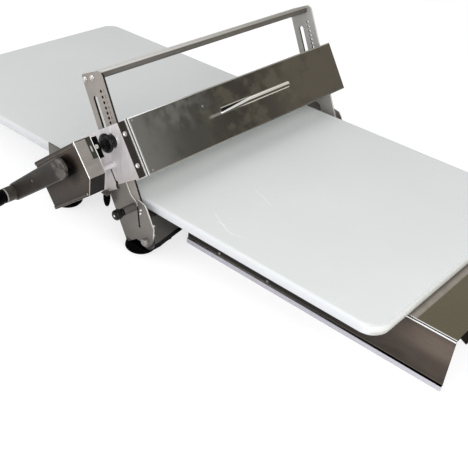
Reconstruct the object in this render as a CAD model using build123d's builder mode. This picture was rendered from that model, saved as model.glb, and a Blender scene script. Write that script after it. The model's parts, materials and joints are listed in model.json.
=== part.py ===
"""Manual dough sheeter: a board that slides under a hand-cranked roller.

Millimetres. +X is the way the board travels, +Y runs along the roller (the crank is at -Y), +Z is up.
The origin is the centre of the board's top face at rest. The table lies table_drop below it.
"""
import os
from math import acos, atan2, cos, degrees, pi, radians, sin, tan

from build123d import *

os.makedirs("parts", exist_ok=True)

# Fits and sheet thicknesses
layer_gap = 0.3           # between plates or pins that slide past each other
running_fit = 0.05        # radial, shaft in hole
sheet = 2.0               # folded covers, deck and tray
upright_thickness = 3.0
base_plate_thickness = 2.0
web_thickness = 2.0

# Board
board_length = 930.0
board_width = 420.0
board_thickness = 15.0
board_corner_radius = 25.0
board_edge_radius = 5.0
board_side_gap = 9.0      # between the board's edge and an upright
table_drop = 90.0         # board top above the table

# Roller
roller_x = 44.8
roller_radius = 33.0
roller_gap = 8.0          # between roller and board at rest
roller_end_gap = 4.0
core_diameter = 20.0
journal_diameter = 8.0
shaft_end = 5.0           # journal beyond the right slider
shaft_tail = 2.0          # journal beyond the roller's gear
bush_diameter = 11.0
bush_flange_diameter = 16.0
bush_flange_thickness = 2.0
bush_outer_reach = 0.6

# Layers on each side, measured from the middle plane
upright_inner = board_width / 2 + board_side_gap
upright_outer = upright_inner + upright_thickness
base_plate_inner = upright_outer + layer_gap
base_plate_outer = base_plate_inner + base_plate_thickness
web_inner = base_plate_outer + layer_gap
web_outer = web_inner + web_thickness
base_half_width = upright_inner - layer_gap
roller_z = roller_gap + roller_radius

# Uprights, in the leaning frame: q forward of the slot line, s up along it from the roller's axis
frame_lean = 25.0
upright_rear = 15.0
upright_top = 123.6
upright_front_corner = 9.0
upright_rear_corner = 3.5
shoulder_drop = 26.0      # where the upright narrows into its arm
shoulder_slope = 16.0
index_line = 15.8         # q of the index holes, the arm's middle line
arm_width = 26.0
pivot_drop = 112.0
pivot_diameter = 6.0
pivot_head_radius = 5.6
pivot_head_height = 4.5
lock_line = 14.0
lock_drop = 61.0
lock_pin_diameter = 5.0

# Index holes: the pitch shrinks downwards, so low gaps step more finely
index_top = 97.5
index_pitch = 7.7
index_pitch_step = 0.27
index_count = 12
index_rest = 10           # the hole in use at rest
index_hole = 4.2
index_pin_diameter = 3.8

# Guide slot
stud_height = 21.5
slot_end_gap = 2.8

# Handle bar
bar_front = 20.5
bar_depth = 34.0
bar_height = 11.0
bar_wall = 1.5
bar_corner = 4.5
bar_screw_rear = 10.1
bar_screw_front = 5.9
bar_screw_drop = 7.0
bar_screw_diameter = 4.0
bar_screw_head = 8.5
bar_screw_head_height = 2.4

# Sliders and hood, in the hood frame: leaning further back, same centre
hood_lean = 33.0
flange_front = 43.2
flange_width = 30.0
web_top = 49.5
web_bottom = 27.4
web_rear = 48.0
web_corner = 3.0
tail_bottom = 33.0
slit_line = 8.8           # behind the roller's axis
slit_top = 3.9
slit_width = 2.4
slit_pocket = 6.0
lip_x = 36.0
lip_z = -5.0
lip_length = 12.0
lip_reach = 10.0
flange_screw_top = 33.0
flange_screw_bottom = 11.0
flange_screw_inset = 5.1
flange_screw_head = 7.0
flange_screw_head_height = 2.0
hood_step = 8.0           # the hood's panel ahead of the flanges
hood_top = 50.7
hood_bottom = 28.4
hood_left_inset = 12.1    # from the left slider's outer face
hood_right_reach = 2.4    # beyond the right slider's outer face
hood_bend = 2.5
rib_length = 159.0
rib_width = 10.0
rib_height = 1.6
rib_bevel = 1.4
rib_flank = 3.4
rib_s = 13.5
rib_y = 22.5
guide_top = 40.0
guide_bottom = 15.0
guide_reach = 2.0         # inwards from the upright's inner face

# Gearbox
gearbox_lean = 36.7
gearbox_front = 47.0
gearbox_rear = 59.0
gearbox_top = 43.5
gearbox_bottom = 25.0
gearbox_chamfer_length = 17.0
gearbox_chamfer_height = 19.0
gearbox_reach = 73.4      # outer face from the left slider's outer face
gearbox_depth = 27.0
gearbox_wall = 2.0
gearbox_corner = 1.0
gearbox_lip_width = 4.0
gearbox_lip_height = 1.2
boss_diameter = 22.0
boss_height = 5.5
post_diameter = 14.0
post_upper = (-25.0, 28.0)
post_lower = (-38.0, -8.0)
block_front = 40.5
block_rear = 34.5
block_top = 44.0
block_bottom = 15.5
block_depth = 11.0
block_screw_head = 6.0
block_screw_s = 31.0

# Gears and crank
module = 1.25
roller_teeth = 22
pinion_teeth = 14
pressure_angle = 20.0
dedendum = 1.25           # tooth root below the pitch line, in modules
backlash = 0.25
root_sink = 0.4
gear_width = 8.0
gear_inset = 12.0         # from the gearbox's outer face
crank_bearing = 108.7     # direction from the roller's axis to the crank's axis, from +X
crank_shaft_diameter = 10.0
arm_direction = 217.6     # crank arm at rest, from +X
arm_length = 131.0
arm_hub_radius = 14.5
arm_end_radius = 12.5
crank_arm_thickness = 6.0
arm_clearance = 0.5
arm_edge = 1.5
collar_diameter = 21.0
collar_height = 16.0
grip_diameter = 23.0
grip_neck_diameter = 20.5
grip_length = 80.0
grip_swell = 10.0
grip_end_bevel = 4.0
grip_pin_diameter = 9.0
grip_cap_diameter = 15.0
grip_cap_height = 2.0

# Index plungers on the sliders
ring_diameter = 22.0
ring_height = 2.0
index_tube_diameter = 10.0
index_tube_length = 6.5
index_neck_diameter = 19.0
index_neck_length = 8.0
index_head_diameter = 27.0
index_head_length = 6.5
index_head_edge = 2.5
index_spigot = 8.0

# Lock plunger on the left base plate
lock_barrel_diameter = 11.0
lock_barrel_length = 20.0
lock_spigot = 8.0
lock_neck_diameter = 11.0
lock_neck_length = 5.0
lock_head_diameter = 14.5
lock_head_length = 10.0
lock_head_edge = 2.0

# Buffer
buffer_diameter = 10.0
buffer_height = 21.0
buffer_tip = 6.0

# Base
deck_half_length = 108.0
deck_flange = 25.0
deck_bend = 4.0
notch_rear = -44.0        # the deck is notched beside the uprights
notch_front = 56.0
notch_depth = 38.7
strip_thickness = 2.0
strip_width = 30.0
strip_inset = 60.0        # from the board's edge
panel_bottom = 72.0
arch_shoulder = 18.7       # panel beside the arch
arch_height = 24.0
panel_hem = 5.0
panel_hem_thickness = 1.5
foot_plate_thickness = 2.0
foot_plate_length = 39.0
foot_plate_width = 50.0
foot_front_x = 73.0
foot_rear_x = 92.0
foot_inset = 22.3         # from a base plate's outer face
foot_diameter = 46.0
foot_top_diameter = 39.0
foot_edge = 4.0
toe_x = 67.5              # rear lower corner of a base plate
heel_x = 119.9            # front lower corner of a base plate
heel_drop = 58.5          # the lower edge beside the pivot
heel_radius = 12.0
toe_radius = 2.0
toe_length = 5.0
sole_x = 88.0             # where the lower edge has risen clear of the foot
base_rear_top = (-31.5, -30.0)      # base plate corners in the leaning frame, (q, s)
base_front_low = (40.5, -95.0)
base_front_high = (38.8, -67.0)
base_brow_front = (37.0, -59.3)
base_brow_rear = (25.7, -50.7)
contour_end = (23.0, -57.6)
contour_bend = (13.9, -43.4)
contour_top = (11.9, -24.0)
base_slit_tip = (13.0, -89.0)
base_slit_width = 3.0
base_slit_end = 4.2
stop_depth = 22.0
stop_top = 52.0
stop_bottom = 92.0
guide_inset = 1.3         # from the deck's rear end
guide_length = 62.0
guide_rise = 12.5
guide_drop = 40.0
guide_corner = 6.0

# Tray
tray_length = 417.0
tray_top_half = 140.0
tray_flare = 5.0          # each wall's lean outwards
tray_clearance = 0.3      # under the board
tray_bend = 3.5
tray_hem = 8.0
tray_hem_thickness = 1.5
tray_tab_drop = 24.0
tray_lip_drop = 26.0      # end flange, with mitred corners
tray_lip_inset = 11.0

# Rivets
rivet_diameter = 4.4
rivet_height = 1.6
panel_rivet_inset = 6.2
panel_rivet_heights = (-32.0, -47.0)
side_rivet_upper = (26.1, -66.0)
side_rivet_lower = (23.1, -71.0)
side_rivet_diameter = 4.0
tray_rivet_places = (172.0, 260.0)
tray_rivet_z = -78.0

# Places that follow from the sizes above
guide_inner = upright_inner - guide_reach
hood_left = web_outer - hood_left_inset
hood_right = web_outer + hood_right_reach
flange_screw_y = web_outer - flange_screw_inset
gearbox_outer = web_outer + gearbox_reach
gear_outer = gearbox_outer - gear_inset
strip_y = board_width / 2 - strip_inset
foot_y = base_plate_outer - foot_inset
panel_rivet_y = base_half_width - panel_rivet_inset
deck_top = -board_thickness - strip_thickness
slot_width = journal_diameter + 2 * layer_gap
arch_half_width = base_half_width - arch_shoulder
tray_bottom_half = tray_top_half + tray_flare
tray_end = deck_half_length + sheet + tray_length
bar_screw_s = upright_top - bar_screw_drop
bar_screw_places = [(-bar_screw_rear, bar_screw_s), (bar_screw_front, bar_screw_s)]
arm_rear = index_line - arm_width / 2
arm_front = index_line + arm_width / 2
flange_inner = web_outer - flange_width
hood_front = flange_front + hood_step
gearbox_inner = gearbox_outer - gearbox_depth
crank_distance = module * (roller_teeth + pinion_teeth) / 2
crank_x = roller_x + crank_distance * cos(radians(crank_bearing))
crank_z = roller_z + crank_distance * sin(radians(crank_bearing))
crank_arm_inner = gearbox_outer + boss_height + arm_clearance
crank_arm_outer = crank_arm_inner + crank_arm_thickness
tray_start = deck_half_length + sheet
foot_top = -panel_bottom
foot_plate_x = deck_half_length - panel_hem_thickness - foot_plate_length / 2


def index_height(number):
    """Height of an index hole along the slot, counted from the top."""
    return index_top - index_pitch * number + index_pitch_step * number * (number - 1) / 2


plunger_height = index_height(index_rest)
lift_up = index_height(0) - plunger_height
lift_down = plunger_height - index_height(index_count - 1)
slot_top = stud_height + lift_up + journal_diameter / 2 + slot_end_gap
slot_bottom = -(lift_down + journal_diameter / 2 + slot_end_gap)


def leaning(angle, x=roller_x, z=roller_z):
    """A plane that faces -Y through (x, z), with its x axis turned up by the angle."""
    turned = radians(angle)
    return Plane(origin=(x, 0, z), x_dir=(cos(turned), 0, sin(turned)), z_dir=(0, -1, 0))


def leaned(q, s):
    """World x and z of a point of the uprights' leaning frame."""
    turned = radians(frame_lean)
    return (roller_x + q * cos(turned) - s * sin(turned),
            roller_z + q * sin(turned) + s * cos(turned))


lean_plane = leaning(frame_lean)
hood_plane = leaning(hood_lean)
gear_plane = leaning(gearbox_lean)
crank_plane = leaning(arm_direction, crank_x, crank_z)


def save(builder, name):
    """Label a sub-part and write its STEP file."""
    builder.part.label = name
    export_step(builder.part, f"parts/{name}.step")


def gear_outline(teeth):
    """Sketch of an involute gear whose first tooth points along x."""
    pitch_radius = module * teeth / 2
    base_radius = pitch_radius * cos(radians(pressure_angle))
    root_radius = pitch_radius - dedendum * module
    tip_radius = pitch_radius + module

    def flank(radius, side):
        """A point of the tooth's flank, at a radius on or above the base circle."""
        turned = acos(base_radius / radius)
        start = tan(radians(pressure_angle)) - radians(pressure_angle)
        half = (pi * module / 4 - backlash / 2) / pitch_radius + start - tan(turned) + turned
        return (radius * cos(side * half), radius * sin(side * half))

    foot_x = root_radius - root_sink
    middle = (base_radius + tip_radius) / 2
    with BuildSketch() as outline:
        Circle(root_radius)
        with BuildSketch(mode=Mode.PRIVATE) as tooth:
            with BuildLine():
                Polyline(flank(base_radius, 1), (foot_x, flank(base_radius, 1)[1]),
                         (foot_x, flank(base_radius, -1)[1]), flank(base_radius, -1))
                ThreePointArc(flank(base_radius, -1), flank(middle, -1), flank(tip_radius, -1))
                Line(flank(tip_radius, -1), flank(tip_radius, 1))
                ThreePointArc(flank(tip_radius, 1), flank(middle, 1), flank(base_radius, 1))
            make_face()
        with PolarLocations(0, teeth):
            add(tooth.sketch)
    return outline.sketch


# Board and its supports
with BuildPart() as board:
    with BuildSketch():
        RectangleRounded(board_length, board_width, board_corner_radius)
    extrude(amount=-board_thickness)
    fillet(board.faces().sort_by(Axis.Z)[-1].edges(), radius=board_edge_radius)
    fillet(board.faces().sort_by(Axis.Z)[0].edges(), radius=board_edge_radius)
save(board, "board")

with BuildPart() as glide_strips:
    with BuildSketch(Plane.XY.offset(deck_top)):
        with Locations((0, strip_y), (0, -strip_y)):
            Rectangle(2 * deck_half_length, strip_width)
    extrude(amount=strip_thickness)
save(glide_strips, "glide_strips")

with BuildPart() as deck:
    with BuildSketch(Plane.YZ.offset(-deck_half_length)):
        with Locations((0, deck_top)):
            Rectangle(2 * base_half_width, deck_flange, align=(Align.CENTER, Align.MAX))
        with Locations((0, deck_top - sheet)):
            Rectangle(2 * (base_half_width - sheet), deck_flange, align=(Align.CENTER, Align.MAX),
                      mode=Mode.SUBTRACT)
    extrude(amount=2 * deck_half_length)
    top_edges = deck.edges().filter_by(Axis.X).group_by(Axis.Z)[-1]
    fillet(top_edges, radius=deck_bend)
    with BuildSketch(Plane.XY.offset(deck_top)):
        with Locations((notch_rear, base_half_width)):
            Rectangle(notch_front - notch_rear, notch_depth, align=(Align.MIN, Align.MAX))
        with Locations((notch_rear, -base_half_width)):
            Rectangle(notch_front - notch_rear, notch_depth, align=(Align.MIN, Align.MIN))
    extrude(amount=-deck_flange, mode=Mode.SUBTRACT)
save(deck, "deck")

with BuildPart() as front_panel:
    with BuildSketch(Plane.YZ.offset(deck_half_length)):
        with BuildLine():
            Polyline((-arch_half_width, -panel_bottom), (-base_half_width, -panel_bottom),
                     (-base_half_width, deck_top), (base_half_width, deck_top),
                     (base_half_width, -panel_bottom), (arch_half_width, -panel_bottom))
            ThreePointArc((arch_half_width, -panel_bottom), (0, arch_height - panel_bottom),
                          (-arch_half_width, -panel_bottom))
        make_face()
    extrude(amount=sheet)
    with BuildSketch(Plane.YZ.offset(deck_half_length)):
        with BuildLine():
            ThreePointArc((-arch_half_width, -panel_bottom), (0, arch_height - panel_bottom),
                          (arch_half_width, -panel_bottom))
            Line((arch_half_width, -panel_bottom), (arch_half_width, panel_hem - panel_bottom))
            ThreePointArc((arch_half_width, panel_hem - panel_bottom),
                          (0, arch_height + panel_hem - panel_bottom),
                          (-arch_half_width, panel_hem - panel_bottom))
            Line((-arch_half_width, panel_hem - panel_bottom), (-arch_half_width, -panel_bottom))
        make_face()
    extrude(amount=-panel_hem_thickness)
save(front_panel, "front_panel")

with BuildPart() as rear_panel:
    add(mirror(front_panel.part, about=Plane.YZ))
save(rear_panel, "rear_panel")

# Base plates carry the uprights' pivots, and the left one the lock plunger
with BuildPart() as left_base_plate:
    with BuildSketch(Plane.XZ.offset(base_plate_inner)) as base_outline:
        heel_point = (heel_x, -heel_drop)
        toe_point = (toe_x, -panel_bottom + foot_plate_thickness)
        with BuildLine():
            Polyline(leaned(*base_rear_top), toe_point, (toe_x + toe_length, toe_point[1]),
                     (sole_x, -heel_drop), heel_point, leaned(*base_front_low),
                     leaned(*base_front_high), leaned(*base_brow_front), leaned(*base_brow_rear),
                     leaned(*contour_end), leaned(*contour_bend), leaned(*contour_top), close=True)
        make_face()
        fillet(base_outline.vertices().sort_by_distance((*heel_point, 0))[0], radius=heel_radius)
        fillet(base_outline.vertices().sort_by_distance((*toe_point, 0))[0], radius=toe_radius)
        slit_start = leaned(*contour_end)
        slit_tip = leaned(*base_slit_tip)
        slit_middle = ((slit_start[0] + slit_tip[0]) / 2, (slit_start[1] + slit_tip[1]) / 2)
        SlotCenterPoint(slit_middle, slit_tip, base_slit_width, mode=Mode.SUBTRACT)
        with Locations(slit_tip):
            Circle(base_slit_end / 2, mode=Mode.SUBTRACT)
        with Locations(leaned(index_line, -pivot_drop)):
            Circle(pivot_diameter / 2 + running_fit, mode=Mode.SUBTRACT)
    extrude(amount=base_plate_thickness)
    plain_base_plate = left_base_plate.part
    with BuildSketch(Plane.XZ.offset(base_plate_inner)):
        with Locations(leaned(lock_line, -lock_drop)):
            Circle(lock_spigot / 2 + running_fit)
    extrude(amount=base_plate_thickness, mode=Mode.SUBTRACT)
save(left_base_plate, "left_base_plate")

with BuildPart() as right_base_plate:
    add(mirror(plain_base_plate, about=Plane.XZ))
save(right_base_plate, "right_base_plate")

# Stop blocks join the base plates to the deck, and the leaning uprights rest on them
with BuildPart() as stop_blocks:
    with BuildSketch(lean_plane.offset(base_half_width)):
        with Locations((arm_rear, -stop_top)):
            Rectangle(stop_depth, stop_bottom - stop_top, align=(Align.MAX, Align.MAX))
    extrude(amount=base_plate_inner - base_half_width)
    mirror(about=Plane.XZ)
save(stop_blocks, "stop_blocks")

with BuildPart() as pivot_bolts:
    with BuildSketch(lean_plane.offset(base_half_width + layer_gap)):
        with Locations((index_line, -pivot_drop)):
            Circle(pivot_diameter / 2)
    extrude(amount=base_plate_outer - base_half_width - layer_gap)
    with BuildSketch(lean_plane.offset(base_plate_outer)):
        with Locations((index_line, -pivot_drop)):
            RegularPolygon(pivot_head_radius, 6)
    extrude(amount=pivot_head_height)
    mirror(about=Plane.XZ)
save(pivot_bolts, "pivot_bolts")

with BuildPart() as foot_plates:
    with BuildSketch(Plane.XY.offset(foot_top)):
        with GridLocations(2 * foot_plate_x, 2 * base_plate_outer - foot_plate_width, 2, 2):
            Rectangle(foot_plate_length, foot_plate_width)
    extrude(amount=foot_plate_thickness)
save(foot_plates, "foot_plates")

with BuildPart() as rubber_feet:
    foot_height = table_drop - panel_bottom
    foot_places = [(x, y) for x in (foot_front_x, -foot_rear_x) for y in (foot_y, -foot_y)]
    with Locations([(x, y, -table_drop) for x, y in foot_places]):
        Cone(foot_diameter / 2 - foot_edge, foot_diameter / 2, foot_edge,
             align=(Align.CENTER, Align.CENTER, Align.MIN))
    with Locations([(x, y, foot_edge - table_drop) for x, y in foot_places]):
        Cone(foot_diameter / 2, foot_top_diameter / 2, foot_height - foot_edge,
             align=(Align.CENTER, Align.CENTER, Align.MIN))
save(rubber_feet, "rubber_feet")

# The guide keeps the board's near edge away from the base where it enters
with BuildPart() as board_guide:
    with BuildSketch(Plane.XZ.offset(base_half_width)) as guide_outline:
        with Locations((guide_inset - deck_half_length, guide_rise)):
            Rectangle(guide_length, guide_rise + guide_drop, align=(Align.MIN, Align.MAX))
        chamfer(guide_outline.vertices().sort_by(Axis.Y)[-2:].sort_by(Axis.X)[-1], length=guide_corner)
    extrude(amount=sheet)
save(board_guide, "board_guide")

# Tray under the board's front half
with BuildPart() as front_tray:
    tray_top = -board_thickness - tray_clearance
    with BuildSketch(Plane.YZ.offset(tray_start)):
        with BuildLine():
            Polyline((-tray_bottom_half, -table_drop), (-tray_top_half, tray_top),
                     (tray_top_half, tray_top), (tray_bottom_half, -table_drop), close=True)
        make_face()
        with BuildLine():
            Polyline((-tray_bottom_half + sheet, -table_drop), (-tray_top_half + sheet, tray_top - sheet),
                     (tray_top_half - sheet, tray_top - sheet), (tray_bottom_half - sheet, -table_drop),
                     close=True)
        make_face(mode=Mode.SUBTRACT)
    extrude(amount=tray_length)
    fillet(front_tray.edges().filter_by(Axis.X).group_by(Axis.Z)[-1], radius=tray_bend)
    with BuildSketch(Plane.YZ.offset(tray_start)):
        with Locations((tray_bottom_half + tray_hem_thickness, -table_drop)):
            Rectangle(sheet + tray_hem_thickness, tray_hem, align=(Align.MAX, Align.MIN))
        with Locations((-tray_bottom_half - tray_hem_thickness, -table_drop)):
            Rectangle(sheet + tray_hem_thickness, tray_hem, align=(Align.MIN, Align.MIN))
    extrude(amount=tray_length)
    with BuildSketch(Plane.YZ.offset(tray_start)):
        with Locations((0, tray_top - sheet)):
            Rectangle(2 * (tray_top_half - tray_bend), tray_tab_drop, align=(Align.CENTER, Align.MAX))
    extrude(amount=sheet)
    lip_half = tray_top_half - tray_lip_inset
    with BuildSketch(Plane.YZ.offset(tray_end - sheet)):
        with BuildLine():
            Polyline((-lip_half, tray_top - sheet), (lip_half, tray_top - sheet),
                     (lip_half - tray_lip_drop, tray_top - sheet - tray_lip_drop),
                     (tray_lip_drop - lip_half, tray_top - sheet - tray_lip_drop), close=True)
        make_face()
    extrude(amount=sheet)
save(front_tray, "front_tray")

# Rivets of the panels and base plates, and of the tray
with BuildPart() as base_rivets:
    for rivet_z in panel_rivet_heights:
        with BuildSketch(Plane.YZ.offset(deck_half_length + sheet)):
            with Locations((-panel_rivet_y, rivet_z), (panel_rivet_y, rivet_z)):
                Circle(rivet_diameter / 2)
        extrude(amount=rivet_height)
    with BuildSketch(Plane.XZ.offset(base_plate_outer)):
        with Locations(leaned(*side_rivet_upper), leaned(*side_rivet_lower)):
            Circle(side_rivet_diameter / 2)
    extrude(amount=rivet_height)
    with BuildSketch(Plane.XZ.offset(-base_plate_outer)):
        with Locations(leaned(*side_rivet_upper), leaned(*side_rivet_lower)):
            Circle(side_rivet_diameter / 2)
    extrude(amount=-rivet_height)
save(base_rivets, "base_rivets")

with BuildPart() as tray_rivets:
    wall_lean = degrees(atan2(tray_bottom_half - tray_top_half, table_drop + tray_top))
    wall_y = tray_top_half + (tray_top - tray_rivet_z) * tan(radians(wall_lean))
    for rivet_x in tray_rivet_places:
        wall = Plane(origin=(rivet_x, -wall_y, tray_rivet_z), x_dir=(1, 0, 0),
                     z_dir=(0, -cos(radians(wall_lean)), sin(radians(wall_lean))))
        with BuildSketch(wall):
            Circle(rivet_diameter / 2)
        extrude(amount=rivet_height)
    mirror(about=Plane.XZ)
save(tray_rivets, "tray_rivets")

# Uprights and handle bar tilt as one frame
with BuildPart() as left_upright:
    with BuildSketch(lean_plane.offset(upright_inner)) as upright_outline:
        with BuildLine():
            Polyline((arm_rear, -pivot_drop), (arm_rear, -shoulder_drop - shoulder_slope),
                     (-upright_rear, -shoulder_drop), (-upright_rear, upright_top),
                     (arm_front, upright_top), (arm_front, -pivot_drop))
            ThreePointArc((arm_front, -pivot_drop), (index_line, -pivot_drop - arm_width / 2),
                          (arm_rear, -pivot_drop))
        make_face()
        top_corners = upright_outline.vertices().group_by(Axis.Y)[-1].sort_by(Axis.X)
        fillet(top_corners[-1], radius=upright_front_corner)
        top_corners = upright_outline.vertices().group_by(Axis.Y)[-1].sort_by(Axis.X)
        fillet(top_corners[0], radius=upright_rear_corner)
        with Locations((0, (slot_top + slot_bottom) / 2)):
            SlotOverall(slot_top - slot_bottom, slot_width, rotation=90, mode=Mode.SUBTRACT)
        with Locations([(index_line, index_height(number)) for number in range(index_count)]):
            Circle(index_hole / 2, mode=Mode.SUBTRACT)
        with Locations(bar_screw_places):
            Circle(bar_screw_diameter / 2 + running_fit, mode=Mode.SUBTRACT)
        with Locations((index_line, -pivot_drop)):
            Circle(pivot_diameter / 2 + running_fit, mode=Mode.SUBTRACT)
    extrude(amount=upright_thickness)
    plain_upright = left_upright.part
    with BuildSketch(lean_plane.offset(upright_inner)):
        with Locations((lock_line, -lock_drop)):
            Circle(lock_pin_diameter / 2 + layer_gap)
    extrude(amount=upright_thickness, mode=Mode.SUBTRACT)
save(left_upright, "left_upright")

with BuildPart() as right_upright:
    add(mirror(plain_upright, about=Plane.XZ))
save(right_upright, "right_upright")

with BuildPart() as handle_bar:
    bar_middle = (bar_front - bar_depth / 2, upright_top - bar_height / 2)
    with BuildSketch(lean_plane.offset(-upright_inner)):
        with Locations(bar_middle):
            RectangleRounded(bar_depth, bar_height, bar_corner)
    extrude(amount=2 * upright_inner)
    with BuildSketch(lean_plane.offset(sheet - upright_inner)):
        with Locations(bar_middle):
            RectangleRounded(bar_depth - 2 * bar_wall, bar_height - 2 * bar_wall, bar_corner - bar_wall)
    extrude(amount=2 * (upright_inner - sheet), mode=Mode.SUBTRACT)
    with BuildSketch(lean_plane.offset(-upright_inner)):
        with Locations(bar_screw_places):
            Circle(bar_screw_diameter / 2 + running_fit)
    extrude(amount=2 * upright_inner, mode=Mode.SUBTRACT)
save(handle_bar, "handle_bar")

with BuildPart() as handle_screws:
    with BuildSketch(lean_plane.offset(upright_inner - sheet)):
        with Locations(bar_screw_places):
            Circle(bar_screw_diameter / 2)
    extrude(amount=upright_thickness + sheet)
    with BuildSketch(lean_plane.offset(upright_outer)):
        with Locations(bar_screw_places):
            Circle(bar_screw_head / 2)
    extrude(amount=bar_screw_head_height)
    chamfer(handle_screws.faces().group_by(Axis.Y)[0].edges(), length=bar_screw_head_height / 2)
    mirror(about=Plane.XZ)
save(handle_screws, "handle_screws")

# Sliders ride on the uprights and carry the roller
with BuildPart() as left_slider:
    with BuildSketch(hood_plane.offset(web_inner)) as web_outline:
        with BuildLine():
            Polyline((-web_rear, -tail_bottom), (-slit_line, -tail_bottom), (-slit_line, -web_bottom),
                     (flange_front, -web_bottom), (flange_front, web_top), (-web_rear, web_top), close=True)
        make_face()
        with Locations((-slit_line, (slit_top - tail_bottom) / 2)):
            SlotOverall(slit_top + tail_bottom, slit_width, rotation=90, mode=Mode.SUBTRACT)
        with Locations((-slit_line, -web_bottom)):
            SlotOverall(2 * slit_pocket, 2 * slit_width, rotation=60, mode=Mode.SUBTRACT)
        Circle(bush_diameter / 2 + running_fit, mode=Mode.SUBTRACT)
    extrude(amount=web_thickness)
    with BuildSketch(lean_plane.offset(web_inner)):
        with Locations((index_line, plunger_height)):
            Circle(index_spigot / 2 + running_fit)
    extrude(amount=web_thickness, mode=Mode.SUBTRACT)
    with BuildSketch(hood_plane.offset(flange_inner)):
        with Locations((flange_front, (web_top - web_bottom) / 2)):
            Rectangle(web_thickness, web_top + web_bottom, align=(Align.MAX, Align.CENTER))
    extrude(amount=flange_width)
save(left_slider, "left_slider")

with BuildPart() as right_slider:
    add(mirror(left_slider.part, about=Plane.XZ))
save(right_slider, "right_slider")

with BuildPart() as buffer_bracket:
    with BuildSketch(Plane.XZ.offset(web_outer)):
        with Locations((lip_x, lip_z)):
            Rectangle(lip_length, sheet)
    extrude(amount=lip_reach)
save(buffer_bracket, "buffer_bracket")

with BuildPart() as rubber_buffer:
    with BuildSketch(Plane.XY.offset(lip_z - sheet / 2)):
        with Locations((lip_x, -web_outer - lip_reach / 2)):
            Circle(buffer_diameter / 2)
    extrude(amount=-buffer_height)
    tip_edges = rubber_buffer.faces().sort_by(Axis.Z)[0].edges()
    chamfer(tip_edges, length=buffer_tip, length2=buffer_diameter / 4)
save(rubber_buffer, "rubber_buffer")

with BuildPart() as left_guide:
    lean_step = radians(hood_lean - frame_lean)
    guide_face = arm_front + layer_gap
    with BuildSketch(hood_plane.offset(guide_inner)):
        with BuildLine():
            Polyline(((guide_face - guide_bottom * sin(lean_step)) / cos(lean_step), -guide_bottom),
                     (flange_front - web_thickness, -guide_bottom),
                     (flange_front - web_thickness, guide_top),
                     ((guide_face + guide_top * sin(lean_step)) / cos(lean_step), guide_top), close=True)
        make_face()
    extrude(amount=web_inner - guide_inner)
save(left_guide, "left_guide")

with BuildPart() as right_guide:
    add(mirror(left_guide.part, about=Plane.XZ))
save(right_guide, "right_guide")

with BuildPart() as flange_screws:
    for screw_s in (flange_screw_top, -flange_screw_bottom):
        face_point = hood_plane.from_local_coords((flange_front, screw_s, flange_screw_y))
        with BuildSketch(Plane(origin=face_point, x_dir=(0, 1, 0), z_dir=hood_plane.x_dir)):
            Circle(flange_screw_head / 2)
        extrude(amount=flange_screw_head_height)
    mirror(about=Plane.XZ)
save(flange_screws, "flange_screws")

with BuildPart() as guide_studs:
    with BuildSketch(lean_plane.offset(upright_inner + layer_gap)):
        with Locations((0, stud_height)):
            Circle(journal_diameter / 2)
    extrude(amount=web_inner - upright_inner - layer_gap)
    mirror(about=Plane.XZ)
save(guide_studs, "guide_studs")

# Hood: a shallow folded pan over the roller
with BuildPart() as hood:
    with BuildSketch(hood_plane.offset(-hood_right)):
        with Locations((flange_front, (hood_top - hood_bottom) / 2)):
            Rectangle(hood_step, hood_top + hood_bottom, align=(Align.MIN, Align.CENTER))
    extrude(amount=hood_right + hood_left)
    front_face = hood.faces().sort_by(Axis(origin=(0, 0, 0), direction=hood_plane.x_dir))[-1]
    fillet(front_face.edges(), radius=hood_bend)
    with BuildSketch(hood_plane.offset(sheet - hood_right)):
        with Locations((flange_front, (hood_top - hood_bottom) / 2)):
            Rectangle(hood_step - sheet, hood_top + hood_bottom - 2 * sheet,
                      align=(Align.MIN, Align.CENTER))
    extrude(amount=hood_right + hood_left - 2 * sheet, mode=Mode.SUBTRACT)
    rib_point = hood_plane.from_local_coords((hood_front, rib_s, -rib_y))
    with BuildSketch(Plane(origin=rib_point, x_dir=(0, 1, 0), z_dir=hood_plane.x_dir)):
        SlotOverall(rib_length, rib_width)
    extrude(amount=rib_height)
    rib_face = hood.faces().sort_by(Axis(origin=(0, 0, 0), direction=hood_plane.x_dir))[-1]
    chamfer(rib_face.edges(), length=rib_flank, length2=rib_bevel, reference=rib_face)
save(hood, "hood")

# Roller
with BuildPart() as roller_body:
    roller_half = upright_inner - roller_end_gap
    with BuildSketch(lean_plane.offset(-roller_half)):
        Circle(roller_radius)
        Circle(core_diameter / 2 + running_fit, mode=Mode.SUBTRACT)
    extrude(amount=2 * roller_half)
save(roller_body, "roller_body")

with BuildPart() as roller_shaft:
    with BuildSketch(lean_plane.offset(-roller_half)):
        Circle(core_diameter / 2)
    extrude(amount=2 * roller_half)
    with BuildSketch(lean_plane.offset(-web_outer - shaft_end)):
        Circle(journal_diameter / 2)
    extrude(amount=web_outer + shaft_end + gear_outer + shaft_tail)
save(roller_shaft, "roller_shaft")

with BuildPart() as left_bush:
    with BuildSketch(lean_plane.offset(web_inner - bush_flange_thickness)):
        Circle(bush_flange_diameter / 2)
    extrude(amount=bush_flange_thickness)
    with BuildSketch(lean_plane.offset(web_inner)):
        Circle(bush_diameter / 2)
    extrude(amount=web_thickness + bush_outer_reach)
    with BuildSketch(lean_plane.offset(web_inner - bush_flange_thickness)):
        Circle(journal_diameter / 2 + running_fit)
    extrude(amount=web_thickness + bush_flange_thickness + bush_outer_reach, mode=Mode.SUBTRACT)
save(left_bush, "left_bush")

with BuildPart() as right_bush:
    add(mirror(left_bush.part, about=Plane.XZ))
save(right_bush, "right_bush")

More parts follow.
